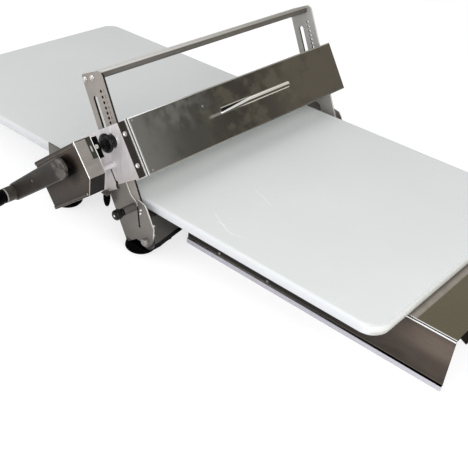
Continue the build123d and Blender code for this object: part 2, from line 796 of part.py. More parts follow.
# Gear pair: a tooth of the roller's gear points at the crank, into a gap of the pinion
with BuildPart() as roller_gear:
    with BuildSketch(leaning(crank_bearing).offset(gear_outer - gear_width)):
        add(gear_outline(roller_teeth))
        Circle(journal_diameter / 2 + running_fit, mode=Mode.SUBTRACT)
    extrude(amount=gear_width)
save(roller_gear, "roller_gear")

with BuildPart() as crank_pinion:
    with BuildSketch(leaning(crank_bearing + 180, crank_x, crank_z).offset(gear_outer - gear_width)):
        add(gear_outline(pinion_teeth), rotation=180 / pinion_teeth)
        Circle(crank_shaft_diameter / 2 + running_fit, mode=Mode.SUBTRACT)
    extrude(amount=gear_width)
save(crank_pinion, "crank_pinion")

# Gearbox, carried on posts beside the left slider
with BuildPart() as gearbox_back:
    with BuildSketch(gear_plane.offset(gearbox_inner)) as gearbox_outline:
        with BuildLine():
            Polyline((-gearbox_rear, -gearbox_bottom),
                     (gearbox_front - gearbox_chamfer_length, -gearbox_bottom),
                     (gearbox_front, gearbox_chamfer_height - gearbox_bottom),
                     (gearbox_front, gearbox_top), (-gearbox_rear, gearbox_top), close=True)
        make_face()
        Circle(journal_diameter / 2 + running_fit, mode=Mode.SUBTRACT)
    extrude(amount=gearbox_wall)
    with BuildSketch(crank_plane.offset(gearbox_inner)):
        Circle(crank_shaft_diameter / 2 + running_fit)
    extrude(amount=gearbox_wall, mode=Mode.SUBTRACT)
save(gearbox_back, "gearbox_back")

with BuildPart() as gearbox_cover:
    with BuildSketch(gear_plane.offset(gearbox_inner + gearbox_wall)) as cover_outline:
        with BuildLine():
            Polyline((-gearbox_rear, -gearbox_bottom),
                     (gearbox_front - gearbox_chamfer_length, -gearbox_bottom),
                     (gearbox_front, gearbox_chamfer_height - gearbox_bottom),
                     (gearbox_front, gearbox_top), (-gearbox_rear, gearbox_top), close=True)
        make_face()
    extrude(amount=gearbox_depth - gearbox_wall)
    fillet(gearbox_cover.faces().sort_by(Axis.Y)[0].edges(), radius=gearbox_corner)
    with BuildSketch(gear_plane.offset(gearbox_inner + gearbox_wall)):
        add(cover_outline.sketch_local)
        offset(amount=-gearbox_wall)
    extrude(amount=gearbox_depth - 2 * gearbox_wall, mode=Mode.SUBTRACT)
    with BuildSketch(gear_plane.offset(gearbox_outer)):
        with Locations((-gearbox_rear + gearbox_corner, gearbox_top - gearbox_corner)):
            Rectangle(gearbox_front + gearbox_rear - 2 * gearbox_corner, gearbox_lip_width,
                      align=(Align.MIN, Align.MAX))
        with Locations((-gearbox_rear + gearbox_corner, gearbox_corner - gearbox_bottom)):
            Rectangle(gearbox_front + gearbox_rear - 2 * gearbox_corner - gearbox_chamfer_length,
                      gearbox_lip_width, align=(Align.MIN, Align.MIN))
    extrude(amount=gearbox_lip_height)
    with BuildSketch(crank_plane.offset(gearbox_outer)):
        Circle(boss_diameter / 2)
    extrude(amount=boss_height)
    with BuildSketch(crank_plane.offset(gearbox_outer - gearbox_wall)):
        Circle(crank_shaft_diameter / 2 + running_fit)
    extrude(amount=gearbox_wall + boss_height, mode=Mode.SUBTRACT)
save(gearbox_cover, "gearbox_cover")

with BuildPart() as gearbox_posts:
    with BuildSketch(hood_plane.offset(web_outer)):
        with Locations(post_upper, post_lower):
            Circle(post_diameter / 2)
    extrude(amount=gearbox_inner - web_outer)
save(gearbox_posts, "gearbox_posts")

with BuildPart() as gearbox_block:
    with BuildSketch(hood_plane.offset(gearbox_inner - block_depth)):
        with Locations((block_front, block_top)):
            Rectangle(block_front - block_rear, block_top - block_bottom, align=(Align.MAX, Align.MAX))
    extrude(amount=block_depth)
save(gearbox_block, "gearbox_block")

with BuildPart() as block_screw:
    block_middle = gearbox_inner - block_depth / 2
    block_point = hood_plane.from_local_coords((block_front, block_screw_s, block_middle))
    with BuildSketch(Plane(origin=block_point, x_dir=(0, 1, 0), z_dir=hood_plane.x_dir)):
        Circle(block_screw_head / 2)
    extrude(amount=flange_screw_head_height)
save(block_screw, "block_screw")

# Crank
with BuildPart() as crank_shaft:
    with BuildSketch(crank_plane.offset(gearbox_inner)):
        Circle(crank_shaft_diameter / 2)
    extrude(amount=crank_arm_outer - gearbox_inner)
save(crank_shaft, "crank_shaft")

with BuildPart() as crank_arm:
    with BuildSketch(crank_plane.offset(crank_arm_inner)):
        Circle(arm_hub_radius)
        with Locations((arm_length, 0)):
            Circle(arm_end_radius)
        make_hull()
    extrude(amount=crank_arm_thickness)
    chamfer(crank_arm.faces().sort_by(Axis.Y)[0].edges(), length=arm_edge)
    with BuildSketch(crank_plane.offset(crank_arm_inner)):
        Circle(crank_shaft_diameter / 2 + running_fit)
        with Locations((arm_length, 0)):
            Circle(grip_pin_diameter / 2 + running_fit)
    extrude(amount=crank_arm_thickness, mode=Mode.SUBTRACT)
save(crank_arm, "crank_arm")

with BuildPart() as grip_pin:
    grip_start = crank_arm_outer + collar_height + layer_gap
    grip_end = grip_start + grip_length
    with BuildSketch(crank_plane.offset(crank_arm_inner)):
        with Locations((arm_length, 0)):
            Circle(grip_pin_diameter / 2)
    extrude(amount=grip_end + layer_gap - crank_arm_inner)
    with BuildSketch(crank_plane.offset(crank_arm_outer)):
        with Locations((arm_length, 0)):
            Circle(collar_diameter / 2)
    extrude(amount=collar_height)
    with BuildSketch(crank_plane.offset(grip_end + layer_gap)):
        with Locations((arm_length, 0)):
            Circle(grip_cap_diameter / 2)
    extrude(amount=grip_cap_height)
save(grip_pin, "grip_pin")

with BuildPart() as grip:
    with BuildSketch(crank_plane.offset(grip_start)):
        with Locations((arm_length, 0)):
            Circle(grip_neck_diameter / 2)
    with BuildSketch(crank_plane.offset(grip_start + grip_swell)):
        with Locations((arm_length, 0)):
            Circle(grip_diameter / 2)
    loft()
    with BuildSketch(crank_plane.offset(grip_start + grip_swell)):
        with Locations((arm_length, 0)):
            Circle(grip_diameter / 2)
    extrude(amount=grip_length - grip_swell)
    chamfer(grip.faces().sort_by(Axis.Y)[0].edges(), length=grip_end_bevel)
    with BuildSketch(crank_plane.offset(grip_start)):
        with Locations((arm_length, 0)):
            Circle(grip_pin_diameter / 2 + running_fit)
    extrude(amount=grip_length, mode=Mode.SUBTRACT)
save(grip, "grip")

# Index plungers
with BuildPart() as left_index_barrel:
    ring_face = web_outer + ring_height
    with BuildSketch(lean_plane.offset(web_inner)):
        with Locations((index_line, plunger_height)):
            Circle(index_spigot / 2)
    extrude(amount=web_thickness)
    with BuildSketch(lean_plane.offset(web_outer)):
        with Locations((index_line, plunger_height)):
            Circle(ring_diameter / 2)
    extrude(amount=ring_height)
    with BuildSketch(lean_plane.offset(ring_face)):
        with Locations((index_line, plunger_height)):
            Circle(index_tube_diameter / 2)
    extrude(amount=index_tube_length)
    with BuildSketch(lean_plane.offset(web_inner)):
        with Locations((index_line, plunger_height)):
            Circle(index_pin_diameter / 2 + running_fit)
    extrude(amount=web_thickness + ring_height + index_tube_length, mode=Mode.SUBTRACT)
save(left_index_barrel, "left_index_barrel")

with BuildPart() as right_index_barrel:
    add(mirror(left_index_barrel.part, about=Plane.XZ))
save(right_index_barrel, "right_index_barrel")

with BuildPart() as left_index_knob:
    head_start = ring_face + index_neck_length
    with BuildSketch(lean_plane.offset(ring_face)):
        with Locations((index_line, plunger_height)):
            Circle(index_neck_diameter / 2)
    extrude(amount=index_neck_length)
    with BuildSketch(lean_plane.offset(head_start)):
        with Locations((index_line, plunger_height)):
            Circle(index_head_diameter / 2)
    extrude(amount=index_head_length)
    chamfer(left_index_knob.faces().sort_by(Axis.Y)[0].edges(), length=index_head_edge)
    with BuildSketch(lean_plane.offset(ring_face)):
        with Locations((index_line, plunger_height)):
            Circle(index_tube_diameter / 2 + layer_gap)
    extrude(amount=index_tube_length + layer_gap, mode=Mode.SUBTRACT)
    with BuildSketch(lean_plane.offset(upright_outer + layer_gap)):
        with Locations((index_line, plunger_height)):
            Circle(index_pin_diameter / 2)
    extrude(amount=head_start + layer_gap - upright_outer)
save(left_index_knob, "left_index_knob")

with BuildPart() as right_index_knob:
    add(mirror(left_index_knob.part, about=Plane.XZ))
save(right_index_knob, "right_index_knob")

# Lock plunger
with BuildPart() as lock_barrel:
    barrel_end = base_plate_outer + lock_barrel_length
    with BuildSketch(lean_plane.offset(base_plate_inner)):
        with Locations((lock_line, -lock_drop)):
            Circle(lock_spigot / 2)
    extrude(amount=base_plate_thickness)
    with BuildSketch(lean_plane.offset(base_plate_outer)):
        with Locations((lock_line, -lock_drop)):
            Circle(lock_barrel_diameter / 2)
    extrude(amount=lock_barrel_length)
    with BuildSketch(lean_plane.offset(base_plate_inner)):
        with Locations((lock_line, -lock_drop)):
            Circle(lock_pin_diameter / 2 + running_fit)
    extrude(amount=base_plate_thickness + lock_barrel_length, mode=Mode.SUBTRACT)
save(lock_barrel, "lock_barrel")

with BuildPart() as lock_knob:
    with BuildSketch(lean_plane.offset(barrel_end)):
        with Locations((lock_line, -lock_drop)):
            Circle(lock_neck_diameter / 2)
    extrude(amount=lock_neck_length)
    with BuildSketch(lean_plane.offset(barrel_end + lock_neck_length)):
        with Locations((lock_line, -lock_drop)):
            Circle(lock_head_diameter / 2)
    extrude(amount=lock_head_length)
    chamfer(lock_knob.faces().sort_by(Axis.Y)[0].edges(), length=lock_head_edge)
    with BuildSketch(lean_plane.offset(base_plate_inner)):
        with Locations((lock_line, -lock_drop)):
            Circle(lock_pin_diameter / 2)
    extrude(amount=barrel_end - base_plate_inner)
save(lock_knob, "lock_knob")
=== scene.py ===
"""Looks of the manual dough sheeter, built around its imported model.

Sizes and levels on the object are in millimetres, in the model's own frame. The stage is in metres.
"""
import json
from math import cos, pi, radians, sin

import bmesh
import bpy
from mathutils import Matrix, Quaternion, Vector


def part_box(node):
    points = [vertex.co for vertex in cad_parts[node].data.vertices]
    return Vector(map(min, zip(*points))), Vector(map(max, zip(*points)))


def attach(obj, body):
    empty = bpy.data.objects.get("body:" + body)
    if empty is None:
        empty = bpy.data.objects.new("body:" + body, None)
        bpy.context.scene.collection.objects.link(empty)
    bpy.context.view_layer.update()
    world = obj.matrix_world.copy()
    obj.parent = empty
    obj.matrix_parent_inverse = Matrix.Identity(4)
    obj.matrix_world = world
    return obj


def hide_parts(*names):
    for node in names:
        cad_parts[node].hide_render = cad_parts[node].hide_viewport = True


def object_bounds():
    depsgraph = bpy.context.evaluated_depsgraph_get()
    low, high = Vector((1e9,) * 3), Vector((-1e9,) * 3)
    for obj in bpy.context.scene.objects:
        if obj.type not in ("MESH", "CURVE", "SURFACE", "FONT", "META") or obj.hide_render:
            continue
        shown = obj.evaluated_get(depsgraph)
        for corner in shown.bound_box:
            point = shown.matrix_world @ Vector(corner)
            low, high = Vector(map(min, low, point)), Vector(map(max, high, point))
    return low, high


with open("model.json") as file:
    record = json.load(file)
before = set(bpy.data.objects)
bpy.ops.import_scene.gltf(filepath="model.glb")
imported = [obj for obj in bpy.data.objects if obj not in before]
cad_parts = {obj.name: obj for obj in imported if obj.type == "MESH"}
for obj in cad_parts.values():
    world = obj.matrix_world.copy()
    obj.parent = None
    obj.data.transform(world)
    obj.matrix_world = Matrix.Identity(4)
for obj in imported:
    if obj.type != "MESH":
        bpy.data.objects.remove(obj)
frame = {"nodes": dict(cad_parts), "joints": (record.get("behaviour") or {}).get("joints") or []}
cad_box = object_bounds()
nodes = frame["nodes"]
joints = {joint["name"]: joint for joint in frame["joints"]}
mm = 0.001

# Camera of the photograph
camera_place = Vector((0.7514, -0.8261, 0.5574))
camera_azimuth = 39.197
camera_elevation = 33.875
camera_roll = 4.738
camera_lens = 60.04
sensor_size = 36.0

# Floor, world and lamps: each lamp has its place, width and power, and shines at the origin
floor_size = 40.0
floor_level = cad_box[0].z
floor_lit = (0.9, 0.9, 0.9, 1.0)
floor_seen = (0.36, 0.36, 0.36, 1.0)
floor_glow = 0.72
floor_roughness = 0.9
world_strength = 0.5
softboxes = {
    "left_softbox": ((-0.6, -2.3, 1.6), 2.4, 31.0),
    "top_softbox": ((-0.4, 0.0, 2.5), 2.4, 8.0),
    "front_softbox": ((1.9, -1.0, 1.1), 2.2, 47.0),
}

# Directions of the object's plates and of its crank arm, in degrees
frame_lean = 25.0
hood_lean = 33.0
gearbox_lean = 36.7
arm_direction = 217.6
up = Vector((0, 0, 1))
left = Vector((0, -1, 0))
right = -left
forward = Vector((1, 0, 0))


def leaning(angle):
    """Forward and upward directions of a plate that leans back by the angle."""
    turned = radians(angle)
    return Vector((cos(turned), 0, sin(turned))), Vector((-sin(turned), 0, cos(turned)))


frame_front, frame_up = leaning(frame_lean)
hood_front, hood_up = leaning(hood_lean)
gearbox_front, gearbox_up = leaning(gearbox_lean)
arm_out, arm_side = leaning(arm_direction)


# Axes and corners, taken from the frame

def hinge(joint):
    """The point that a hinge turns about."""
    return Vector(joints[joint]["pos_m"]) / mm


def lowest(node):
    """The lowest corner of a node's box, which is at its left and rear."""
    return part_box(node)[0] / mm


def highest(node):
    """The highest corner of a node's box, which is at its right and front."""
    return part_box(node)[1] / mm


roller_axis = hinge("roller_spin")
crank_axis = hinge("crank_spin")
grip_axis = hinge("grip_spin")
pivot_axis = hinge("frame_tilt")
upright_face = -lowest("left_upright").y
base_plate_face = -lowest("left_base_plate").y
hood_end = highest("hood")

# How far the hood's flange and face lie ahead of the roller's axis
hood_flange_ahead = 43.2
hood_face_ahead = 51.2


def on_frame(ahead, rise, across):
    """A point ahead of the uprights' slot, up along it and across the machine, from the roller's axis."""
    return roller_axis + frame_front * ahead + frame_up * rise + right * across


def on_hood(ahead, rise, across):
    """The same in the hood's directions."""
    return roller_axis + hood_front * ahead + hood_up * rise + right * across


# Materials

world_origin = Vector((0, 0, 0))
grain_x = (0.6, 14.0, 14.0)
grain_y = (14.0, 0.6, 14.0)
grain_z = (14.0, 14.0, 0.6)
# White of the painted highlights along bends and corners
highlight_white = (236, 236, 236)


def shade(red, green, blue):
    """A linear colour from display values of 0 to 255."""
    def linear(value):
        part = value / 255
        return part / 12.92 if part <= 0.04045 else ((part + 0.055) / 1.055) ** 2.4
    return linear(red), linear(green), linear(blue), 1.0


class Finish:
    """A procedural material in the making: each call adds nodes and returns an output.

    A mask is an output between nothing and one. Levels of masks are counted along a direction
    from a start, which is the origin unless another point is given.
    """

    def __init__(self, name, metallic=0.0):
        self.material = bpy.data.materials.new(name)
        self.material.use_nodes = True
        self.tree = self.material.node_tree
        self.shader = self.tree.nodes["Principled BSDF"]
        self.set("Metallic", metallic)
        coordinates = self.tree.nodes.new("ShaderNodeTexCoord")
        self.place = coordinates.outputs["Object"]
        self.normal = coordinates.outputs["Normal"]

    def set(self, socket, value):
        """Gives one of the shader's sockets a value that is the same all over."""
        self.shader.inputs[socket].default_value = value

    def feed(self, socket, value):
        """Links an output to a socket, or sets it to a plain value."""
        if isinstance(value, bpy.types.NodeSocket):
            self.tree.links.new(value, socket)
        else:
            socket.default_value = value

    def maths(self, operation, first, second):
        """The clamped result of an operation on two outputs or numbers."""
        node = self.tree.nodes.new("ShaderNodeMath")
        node.operation = operation
        node.use_clamp = True
        self.feed(node.inputs[0], first)
        self.feed(node.inputs[1], second)
        return node.outputs[0]

    def both(self, first, second):
        """A mask where two masks meet, or a share of one."""
        return self.maths("MULTIPLY", first, second)

    def either(self, first, second):
        """A mask of what one of two masks covers."""
        return self.maths("MAXIMUM", first, second)

    def outside(self, mask):
        """A mask of what another leaves free."""
        return self.maths("SUBTRACT", 1.0, mask)

    def spread(self, value, low, high, out_low=0.0, out_high=1.0):
        """Maps the range from low to high smoothly onto another."""
        node = self.tree.nodes.new("ShaderNodeMapRange")
        node.interpolation_type = "SMOOTHSTEP"
        self.feed(node.inputs["Value"], value)
        node.inputs["From Min"].default_value = low
        node.inputs["From Max"].default_value = high
        node.inputs["To Min"].default_value = out_low
        node.inputs["To Max"].default_value = out_high
        return node.outputs["Result"]

    def between(self, mask, low, high):
        """A value that goes from low to high with a mask."""
        return self.spread(mask, 0.0, 1.0, low, high)

    def rough(self, texture, low, high):
        """A roughness that goes from low to high with the middle range of a texture."""
        return self.spread(texture, 0.3, 0.7, low, high)

    def measure(self, operation, vector, other):
        """A vector's distance from another, or their dot product."""
        node = self.tree.nodes.new("ShaderNodeVectorMath")
        node.operation = operation
        self.feed(node.inputs[0], vector)
        node.inputs[1].default_value = other
        return node.outputs["Value"]

    def along(self, direction, low, high, start=world_origin):
        """Mask that rises between two levels along a direction."""
        level = start.dot(direction)
        reach = self.measure("DOT_PRODUCT", self.place, direction)
        return self.spread(reach, (level + low) * mm, (level + high) * mm)

    def facing(self, direction, low, high):
        """Mask of faces turned to a direction, rising between two cosines."""
        return self.spread(self.measure("DOT_PRODUCT", self.normal, direction), low, high)

    def band(self, direction, low, high, soft, start=world_origin):
        """Mask between two levels along a direction, with soft ends outside them."""
        rise = self.along(direction, low - soft, low, start)
        fall = self.along(-direction, -high - soft, -high, start)
        return self.both(rise, fall)

    def near(self, point, inner, outer):
        """Mask within the inner distance of a point, fading to nothing at the outer one."""
        distance = self.measure("DISTANCE", self.place, point * mm)
        return self.spread(distance, inner * mm, outer * mm, 1.0, 0.0)

    def noise(self, scale, stretch=(1, 1, 1), detail=3.0):
        """A noise texture, coarser along the axes with a small stretch."""
        mapping = self.tree.nodes.new("ShaderNodeMapping")
        mapping.inputs["Scale"].default_value = stretch
        self.feed(mapping.inputs["Vector"], self.place)
        node = self.tree.nodes.new("ShaderNodeTexNoise")
        node.inputs["Scale"].default_value = scale
        node.inputs["Detail"].default_value = detail
        self.feed(node.inputs["Vector"], mapping.outputs["Vector"])
        return node.outputs["Fac"]

    def clouds(self, scale):
        """Mask of soft cloudy tarnish."""
        return self.spread(self.noise(scale, detail=6.0), 0.35, 0.68)

    def lines(self, grain):
        """Texture of fine grinding lines."""
        return self.noise(90.0, grain, 4.0)

    def brushed(self, grain, strength):
        """Texture of fine grinding lines that also stand out as a bump."""
        lines = self.lines(grain)
        self.bump(lines, 0.2, strength)
        return lines

    def mix(self, factor, first, second):
        """The first colour where the factor is nothing, the second where it is one.

        A colour is an output, three display values or a linear colour with its alpha.
        """
        node = self.tree.nodes.new("ShaderNodeMix")
        node.data_type = "RGBA"
        self.feed(node.inputs["Factor"], factor)
        sockets = [socket for socket in node.inputs if socket.type == "RGBA"]
        for socket, colour in zip(sockets, (first, second)):
            plain = not isinstance(colour, bpy.types.NodeSocket) and len(colour) == 3
            self.feed(socket, shade(*colour) if plain else colour)
        return [socket for socket in node.outputs if socket.type == "RGBA"][0]

    def bump(self, height, distance, strength):
        """Lets a texture disturb the surface by a distance."""
        node = self.tree.nodes.new("ShaderNodeBump")
        node.inputs["Strength"].default_value = strength
        node.inputs["Distance"].default_value = distance * mm
        self.feed(node.inputs["Height"], height)
        self.feed(self.shader.inputs["Normal"], node.outputs["Normal"])

    def done(self, colour, roughness, metallic=None):
        """Feeds the shader and returns the material."""
        self.feed(self.shader.inputs["Base Color"], colour)
        self.feed(self.shader.inputs["Roughness"], roughness)
        if metallic is not None:
            self.feed(self.shader.inputs["Metallic"], metallic)
        return self.material


def guide_steel():
    """Ground sheet with cloudy tarnish."""
    finish = Finish("guide_steel", 0.75)
    lines = finish.brushed(grain_z, 0.35)
    light = (128, 124, 119)
    tone = finish.mix(finish.clouds(9.0), (92, 89, 85), light)
    tone = finish.mix(finish.spread(lines, 0.3, 0.75, 0.0, 0.22), tone, light)
    return finish.done(tone, finish.rough(lines, 0.3, 0.46))


def plate_steel(name, dark, light, edge, shaded_edges):
    """Flat cut plate: clouded faces, darker towards the bottom and in painted shade at the tip and foot, and
    bright edges that are partly wear and partly painted highlight, some of them in painted shade.
    """
    finish = Finish(name, 0.35)
    lines = finish.brushed(grain_z, 0.2)
    face = finish.mix(finish.clouds(11.0), dark, light)
    face = finish.mix(finish.spread(lines, 0.3, 0.75, 0.0, 0.15), face, [value + 20 for value in light])
    low = finish.both(finish.along(-up, 20, 65), 0.6)
    face = finish.mix(low, face, [0.8 * value for value in dark])
    # Painted shade over the plate's tip and foot, where the rubber foot meets it
    tip = finish.along((forward - up).normalized(), 6, 9, pivot_axis)
    foot = finish.either(finish.along(-up, 63.5, 66), tip)
    face = finish.mix(foot, face, (18, 16, 15))
    flat = finish.either(finish.facing(left, 0.9, 0.99), finish.facing(right, 0.9, 0.99))
    # Bright cut edges as wear and painted highlight, the shaded ones in painted shade
    cut = finish.mix(shaded_edges(finish), edge, (20, 18, 17))
    return finish.done(finish.mix(flat, cut, face), finish.rough(lines, 0.32, 0.48))


# Bounds of an upright's slot and index holes and of a base plate's slit, from the roller's axis
slot_bounds = (-5, 5)
hole_bounds = (13, 18.6)
slot_top = 105
slit_bounds = (10, 21.5)
slit_ends = (-92, -61)
wall_fade = 0.4


def slot_walls(finish):
    """Mask of the walls of an upright's slot and index holes."""
    slot = finish.band(frame_front, *slot_bounds, wall_fade, roller_axis)
    holes = finish.band(frame_front, *hole_bounds, wall_fade, roller_axis)
    below_top = finish.along(-frame_up, -slot_top - 1, -slot_top, roller_axis)
    return finish.both(finish.either(slot, holes), below_top)


def lower_edges(finish):
    """Mask of a plate's edges near the foot."""
    return finish.along(-up, 36, 50)


def left_upright_edges(finish):
    """Mask of the slot's walls and of the upright's front and lower edges."""
    front = finish.either(slot_walls(finish), finish.facing(frame_front, 0.6, 0.9))
    return finish.either(front, lower_edges(finish))


def base_slit_walls(finish):
    """Mask of the walls of a base plate's slit and of its lower edges."""
    across = finish.band(frame_front, *slit_bounds, wall_fade, roller_axis)
    length = finish.band(frame_up, *slit_ends, wall_fade, roller_axis)
    return finish.either(finish.both(across, length), lower_edges(finish))


# The hood's rib: its middle, the place where its highlight starts to climb, and how steeply it does
rib_rise = 13.5
climb_start = 57
rib_middle = on_hood(hood_face_ahead, rib_rise, 0)
rib_turn = rib_middle + left * climb_start
rib_climb = 0.082
stripe_climb = 0.05


def hood_rib(finish):
    """Mask and colours of the pressed rib: a thin painted highlight climbs from its lower flank to its
    crest, with painted black shade above it and thin painted highlights along its top and bottom.
    """
    raised = finish.along(hood_front, 0.05, 0.2, rib_middle)
    above = finish.along(hood_up - right * rib_climb, -2.0, -1.0, rib_turn)
    tone = finish.mix(above, (76, 71, 62), (12, 11, 10))
    top_line = finish.both(finish.along(hood_up, 3.6, 4.2, rib_middle), finish.along(left, -20, 10))
    tone = finish.mix(top_line, tone, (178, 174, 162))
    flank = finish.along(hood_up, -0.8, 0, rib_middle)
    climbing = finish.along(hood_up - right * stripe_climb, -4.0, -3.2, rib_turn)
    below_crest = finish.along(-hood_up, -4.2, -3.2, rib_middle)
    stripe = finish.both(finish.either(flank, climbing), below_crest)
    stripe = finish.both(stripe, finish.outside(above))
    bright = finish.mix(finish.along(right, -30, 60), (244, 243, 238), (226, 221, 208))
    tone = finish.mix(stripe, tone, bright)
    low_line = finish.both(finish.band(hood_up, -4.9, -3.8, 0.3, rib_middle), finish.along(right, -25, 5))
    tone = finish.mix(low_line, tone, (196, 191, 178))
    return raised, tone


def hood_bends(finish):
    """Colours of the hood's end wall and of its bends: painted highlights along the bends, bright towards
    the crank, and painted shade on the lower bend away from it.
    """
    flange = on_hood(hood_flange_ahead, 0, 0)
    wall = finish.mix(finish.along(hood_front, 2.8, 3.6, flange), highlight_white, (104, 102, 96))
    bend = finish.mix(finish.facing(left, 0.7, 0.82), (122, 121, 115), highlight_white)
    tone = finish.mix(finish.facing(left, 0.9, 0.97), bend, wall)
    top = finish.mix(finish.along(right, -200, -60), highlight_white, (142, 138, 128))
    tone = finish.mix(finish.facing(hood_up, 0.2, 0.4), tone, top)
    low = finish.mix(finish.along(right, -100, 60), (132, 128, 120), (56, 52, 46))
    return finish.mix(finish.facing(-hood_up, 0.2, 0.4), tone, low)


def hood_steel():
    """Panel that goes from pale at the crank's end to brown, with smears, a painted glint beside the rib and
    painted highlights on its bends.
    """
    finish = Finish("hood_steel")
    lines = finish.lines(grain_y)
    tone = finish.mix(finish.along(right, -215, -120), (118, 117, 111), (80, 77, 70))
    tone = finish.mix(finish.along(right, -120, -30), tone, (66, 62, 55))
    tone = finish.mix(finish.along(right, 0, 140), tone, (98, 91, 79))
    smears = finish.spread(finish.noise(52.0, (1.0, 0.9, 0.7), 9.0), 0.45, 0.66)
    worn = finish.both(finish.along(hood_up, -5, 40, roller_axis), finish.along(left, 20, 160))
    tone = finish.mix(finish.both(smears, worn), tone, (116, 115, 108))
    dark_spots = finish.spread(finish.noise(30.0, detail=9.0), 0.5, 0.7)
    tone = finish.mix(finish.both(dark_spots, 0.35), tone, (56, 52, 45))
    streaks = finish.spread(finish.noise(46.0, (1.0, 0.7, 0.8), 8.0), 0.47, 0.66)
    rubbing_and_reflection = finish.both(finish.band(right, -70, 90, 40), 0.4)
    tone = finish.mix(finish.both(streaks, rubbing_and_reflection), tone, (118, 112, 95))
    # Painted glint to the left of the rib
    glint = finish.band(hood_up, -3.4, -1.4, 1.6, rib_middle)
    glint = finish.both(glint, finish.band(right, -74, -60, 10))
    tone = finish.mix(finish.both(glint, 0.4), tone, (204, 202, 196))
    raised, rib = hood_rib(finish)
    tone = finish.mix(raised, tone, rib)
    tone = finish.mix(finish.along(right, -2.6, -2.0, hood_end), tone, (48, 44, 38))
    flat = finish.facing(hood_front, 0.93, 0.995)
    tone = finish.mix(finish.either(flat, raised), hood_bends(finish), tone)
    return finish.done(tone, finish.rough(lines, 0.3, 0.34), finish.between(flat, 0.12, 0.7))


def bar_steel():
    """Hollow bar: pale on top as painted light, darker in front as painted shade, and mottled in front."""
    finish = Finish("bar_steel", 0.35)
    lines = finish.brushed(grain_y, 0.15)
    top = finish.mix(finish.along(right, -200, 200), (208, 205, 200), (150, 146, 139))
    front = finish.mix(finish.along(right, -200, 150), (98, 95, 90), (92, 87, 80))
    mottle = finish.spread(finish.noise(34.0, (1.0, 0.5, 1.0), 8.0), 0.42, 0.66)
    front = finish.mix(finish.both(mottle, 0.5), front, (74, 69, 63))
    # Painted light on the top, painted shade on the front
    tone = finish.mix(finish.facing(frame_up, 0.05, 0.35), front, top)
    return finish.done(tone, finish.rough(lines, 0.3, 0.45))


def slider_steel():
    """Bright on the plate beside the upright, darker towards its foot as painted shade, with painted shade
    in the slit and on the flange turned across the front.
    """
    finish = Finish("slider_steel")
    lines = finish.brushed(grain_z, 0.2)
    streaks = finish.spread(finish.noise(40.0, (3.0, 1.0, 0.4), 4.0), 0.3, 0.7)
    tone = finish.mix(streaks, (203, 198, 200), (222, 218, 220))
    # Painted shade towards the foot of the plate
    tone = finish.mix(finish.along(-hood_up, 8, 26, roller_axis), tone, (190, 184, 182))
    # Painted shade in the slit
    across_slit = finish.band(hood_front, -12.8, -4.8, 0.3, roller_axis)
    slit = finish.both(across_slit, finish.along(-hood_up, -5, -4.6, roller_axis))
    flat = finish.either(finish.facing(left, 0.8, 0.95), finish.facing(right, 0.8, 0.95))
    tone = finish.mix(finish.both(slit, finish.outside(flat)), tone, (8, 7, 7))
    # The flange in painted shade
    flange = finish.facing(hood_front, 0.5, 0.9)
    tone = finish.mix(flange, tone, (50, 45, 40))
    return finish.done(tone, finish.rough(lines, 0.32, 0.48), finish.between(flange, 0.2, 0.62))


# The gearbox: its outer side, and the slope under its front, which drops while it runs back
gearbox_reach = 300
slope_drop = 19
slope_run = 17
gearbox_side = left * gearbox_reach
gearbox_slope = (gearbox_front * slope_drop - gearbox_up * slope_run).normalized()


def gearbox_wall(finish):
    """Colours of the side: dark and polished, with thin light rims and a painted shadow beside the crank's
    hub.
    """
    tone = finish.mix(finish.along(gearbox_front, -20, 100), (46, 38, 32), (70, 59, 51))
    tone = finish.mix(finish.spread(finish.noise(14.0), 0.35, 0.65, 0.0, 0.35), tone, (52, 43, 37))
    tone = finish.mix(finish.along(-gearbox_up, 0, 36, roller_axis), tone, (26, 21, 18))
    # Painted shadow of the crank's hub on the side
    crank_shadow_centre = crank_axis + gearbox_side + forward * 12
    crank_shadow = finish.near(crank_shadow_centre, 8, 24)
    tone = finish.mix(finish.both(crank_shadow, 0.85), tone, (14, 12, 10))
    upper_rim = finish.band(gearbox_up, 38.6, 39.4, 0.3, roller_axis)
    lower_rim = finish.band(gearbox_up, -22.8, -22.0, 0.3, roller_axis)
    tone = finish.mix(finish.both(finish.either(upper_rim, lower_rim), 0.6), tone, (112, 104, 94))
    return finish.mix(finish.along(gearbox_up, 41.8, 42.6, roller_axis), tone, (24, 21, 18))


def gearbox_face(finish):
    """Colours of the front: lighter, with a painted dark reflection of the block along two edges and a
    painted glint of a screw in it.
    """
    tone = finish.mix(finish.along(gearbox_up, 0, 90), (134, 129, 123), (152, 146, 139))
    wear = finish.spread(finish.noise(60.0, (1, 0.2, 1), 4.0), 0.4, 0.7, 0.0, 0.3)
    tone = finish.mix(wear, tone, (192, 186, 180))
    # Painted dark reflection of the block along the inner edge and the top
    inner = finish.along(right, 17.2, 18.2, gearbox_side)
    block_reflection = finish.both(inner, finish.along(gearbox_up, 14, 16, roller_axis))
    block_reflection = finish.either(block_reflection, finish.along(gearbox_up, 41.9, 42.5, roller_axis))
    tone = finish.mix(block_reflection, tone, (52, 51, 45))
    # Painted glint of a screw in that reflection
    shine = finish.band(right, 20.6, 21.8, 0.9, gearbox_side)
    shine = finish.both(shine, finish.band(gearbox_up, 26, 30, 3, roller_axis))
    return finish.mix(finish.both(shine, 0.85), tone, (200, 197, 190))


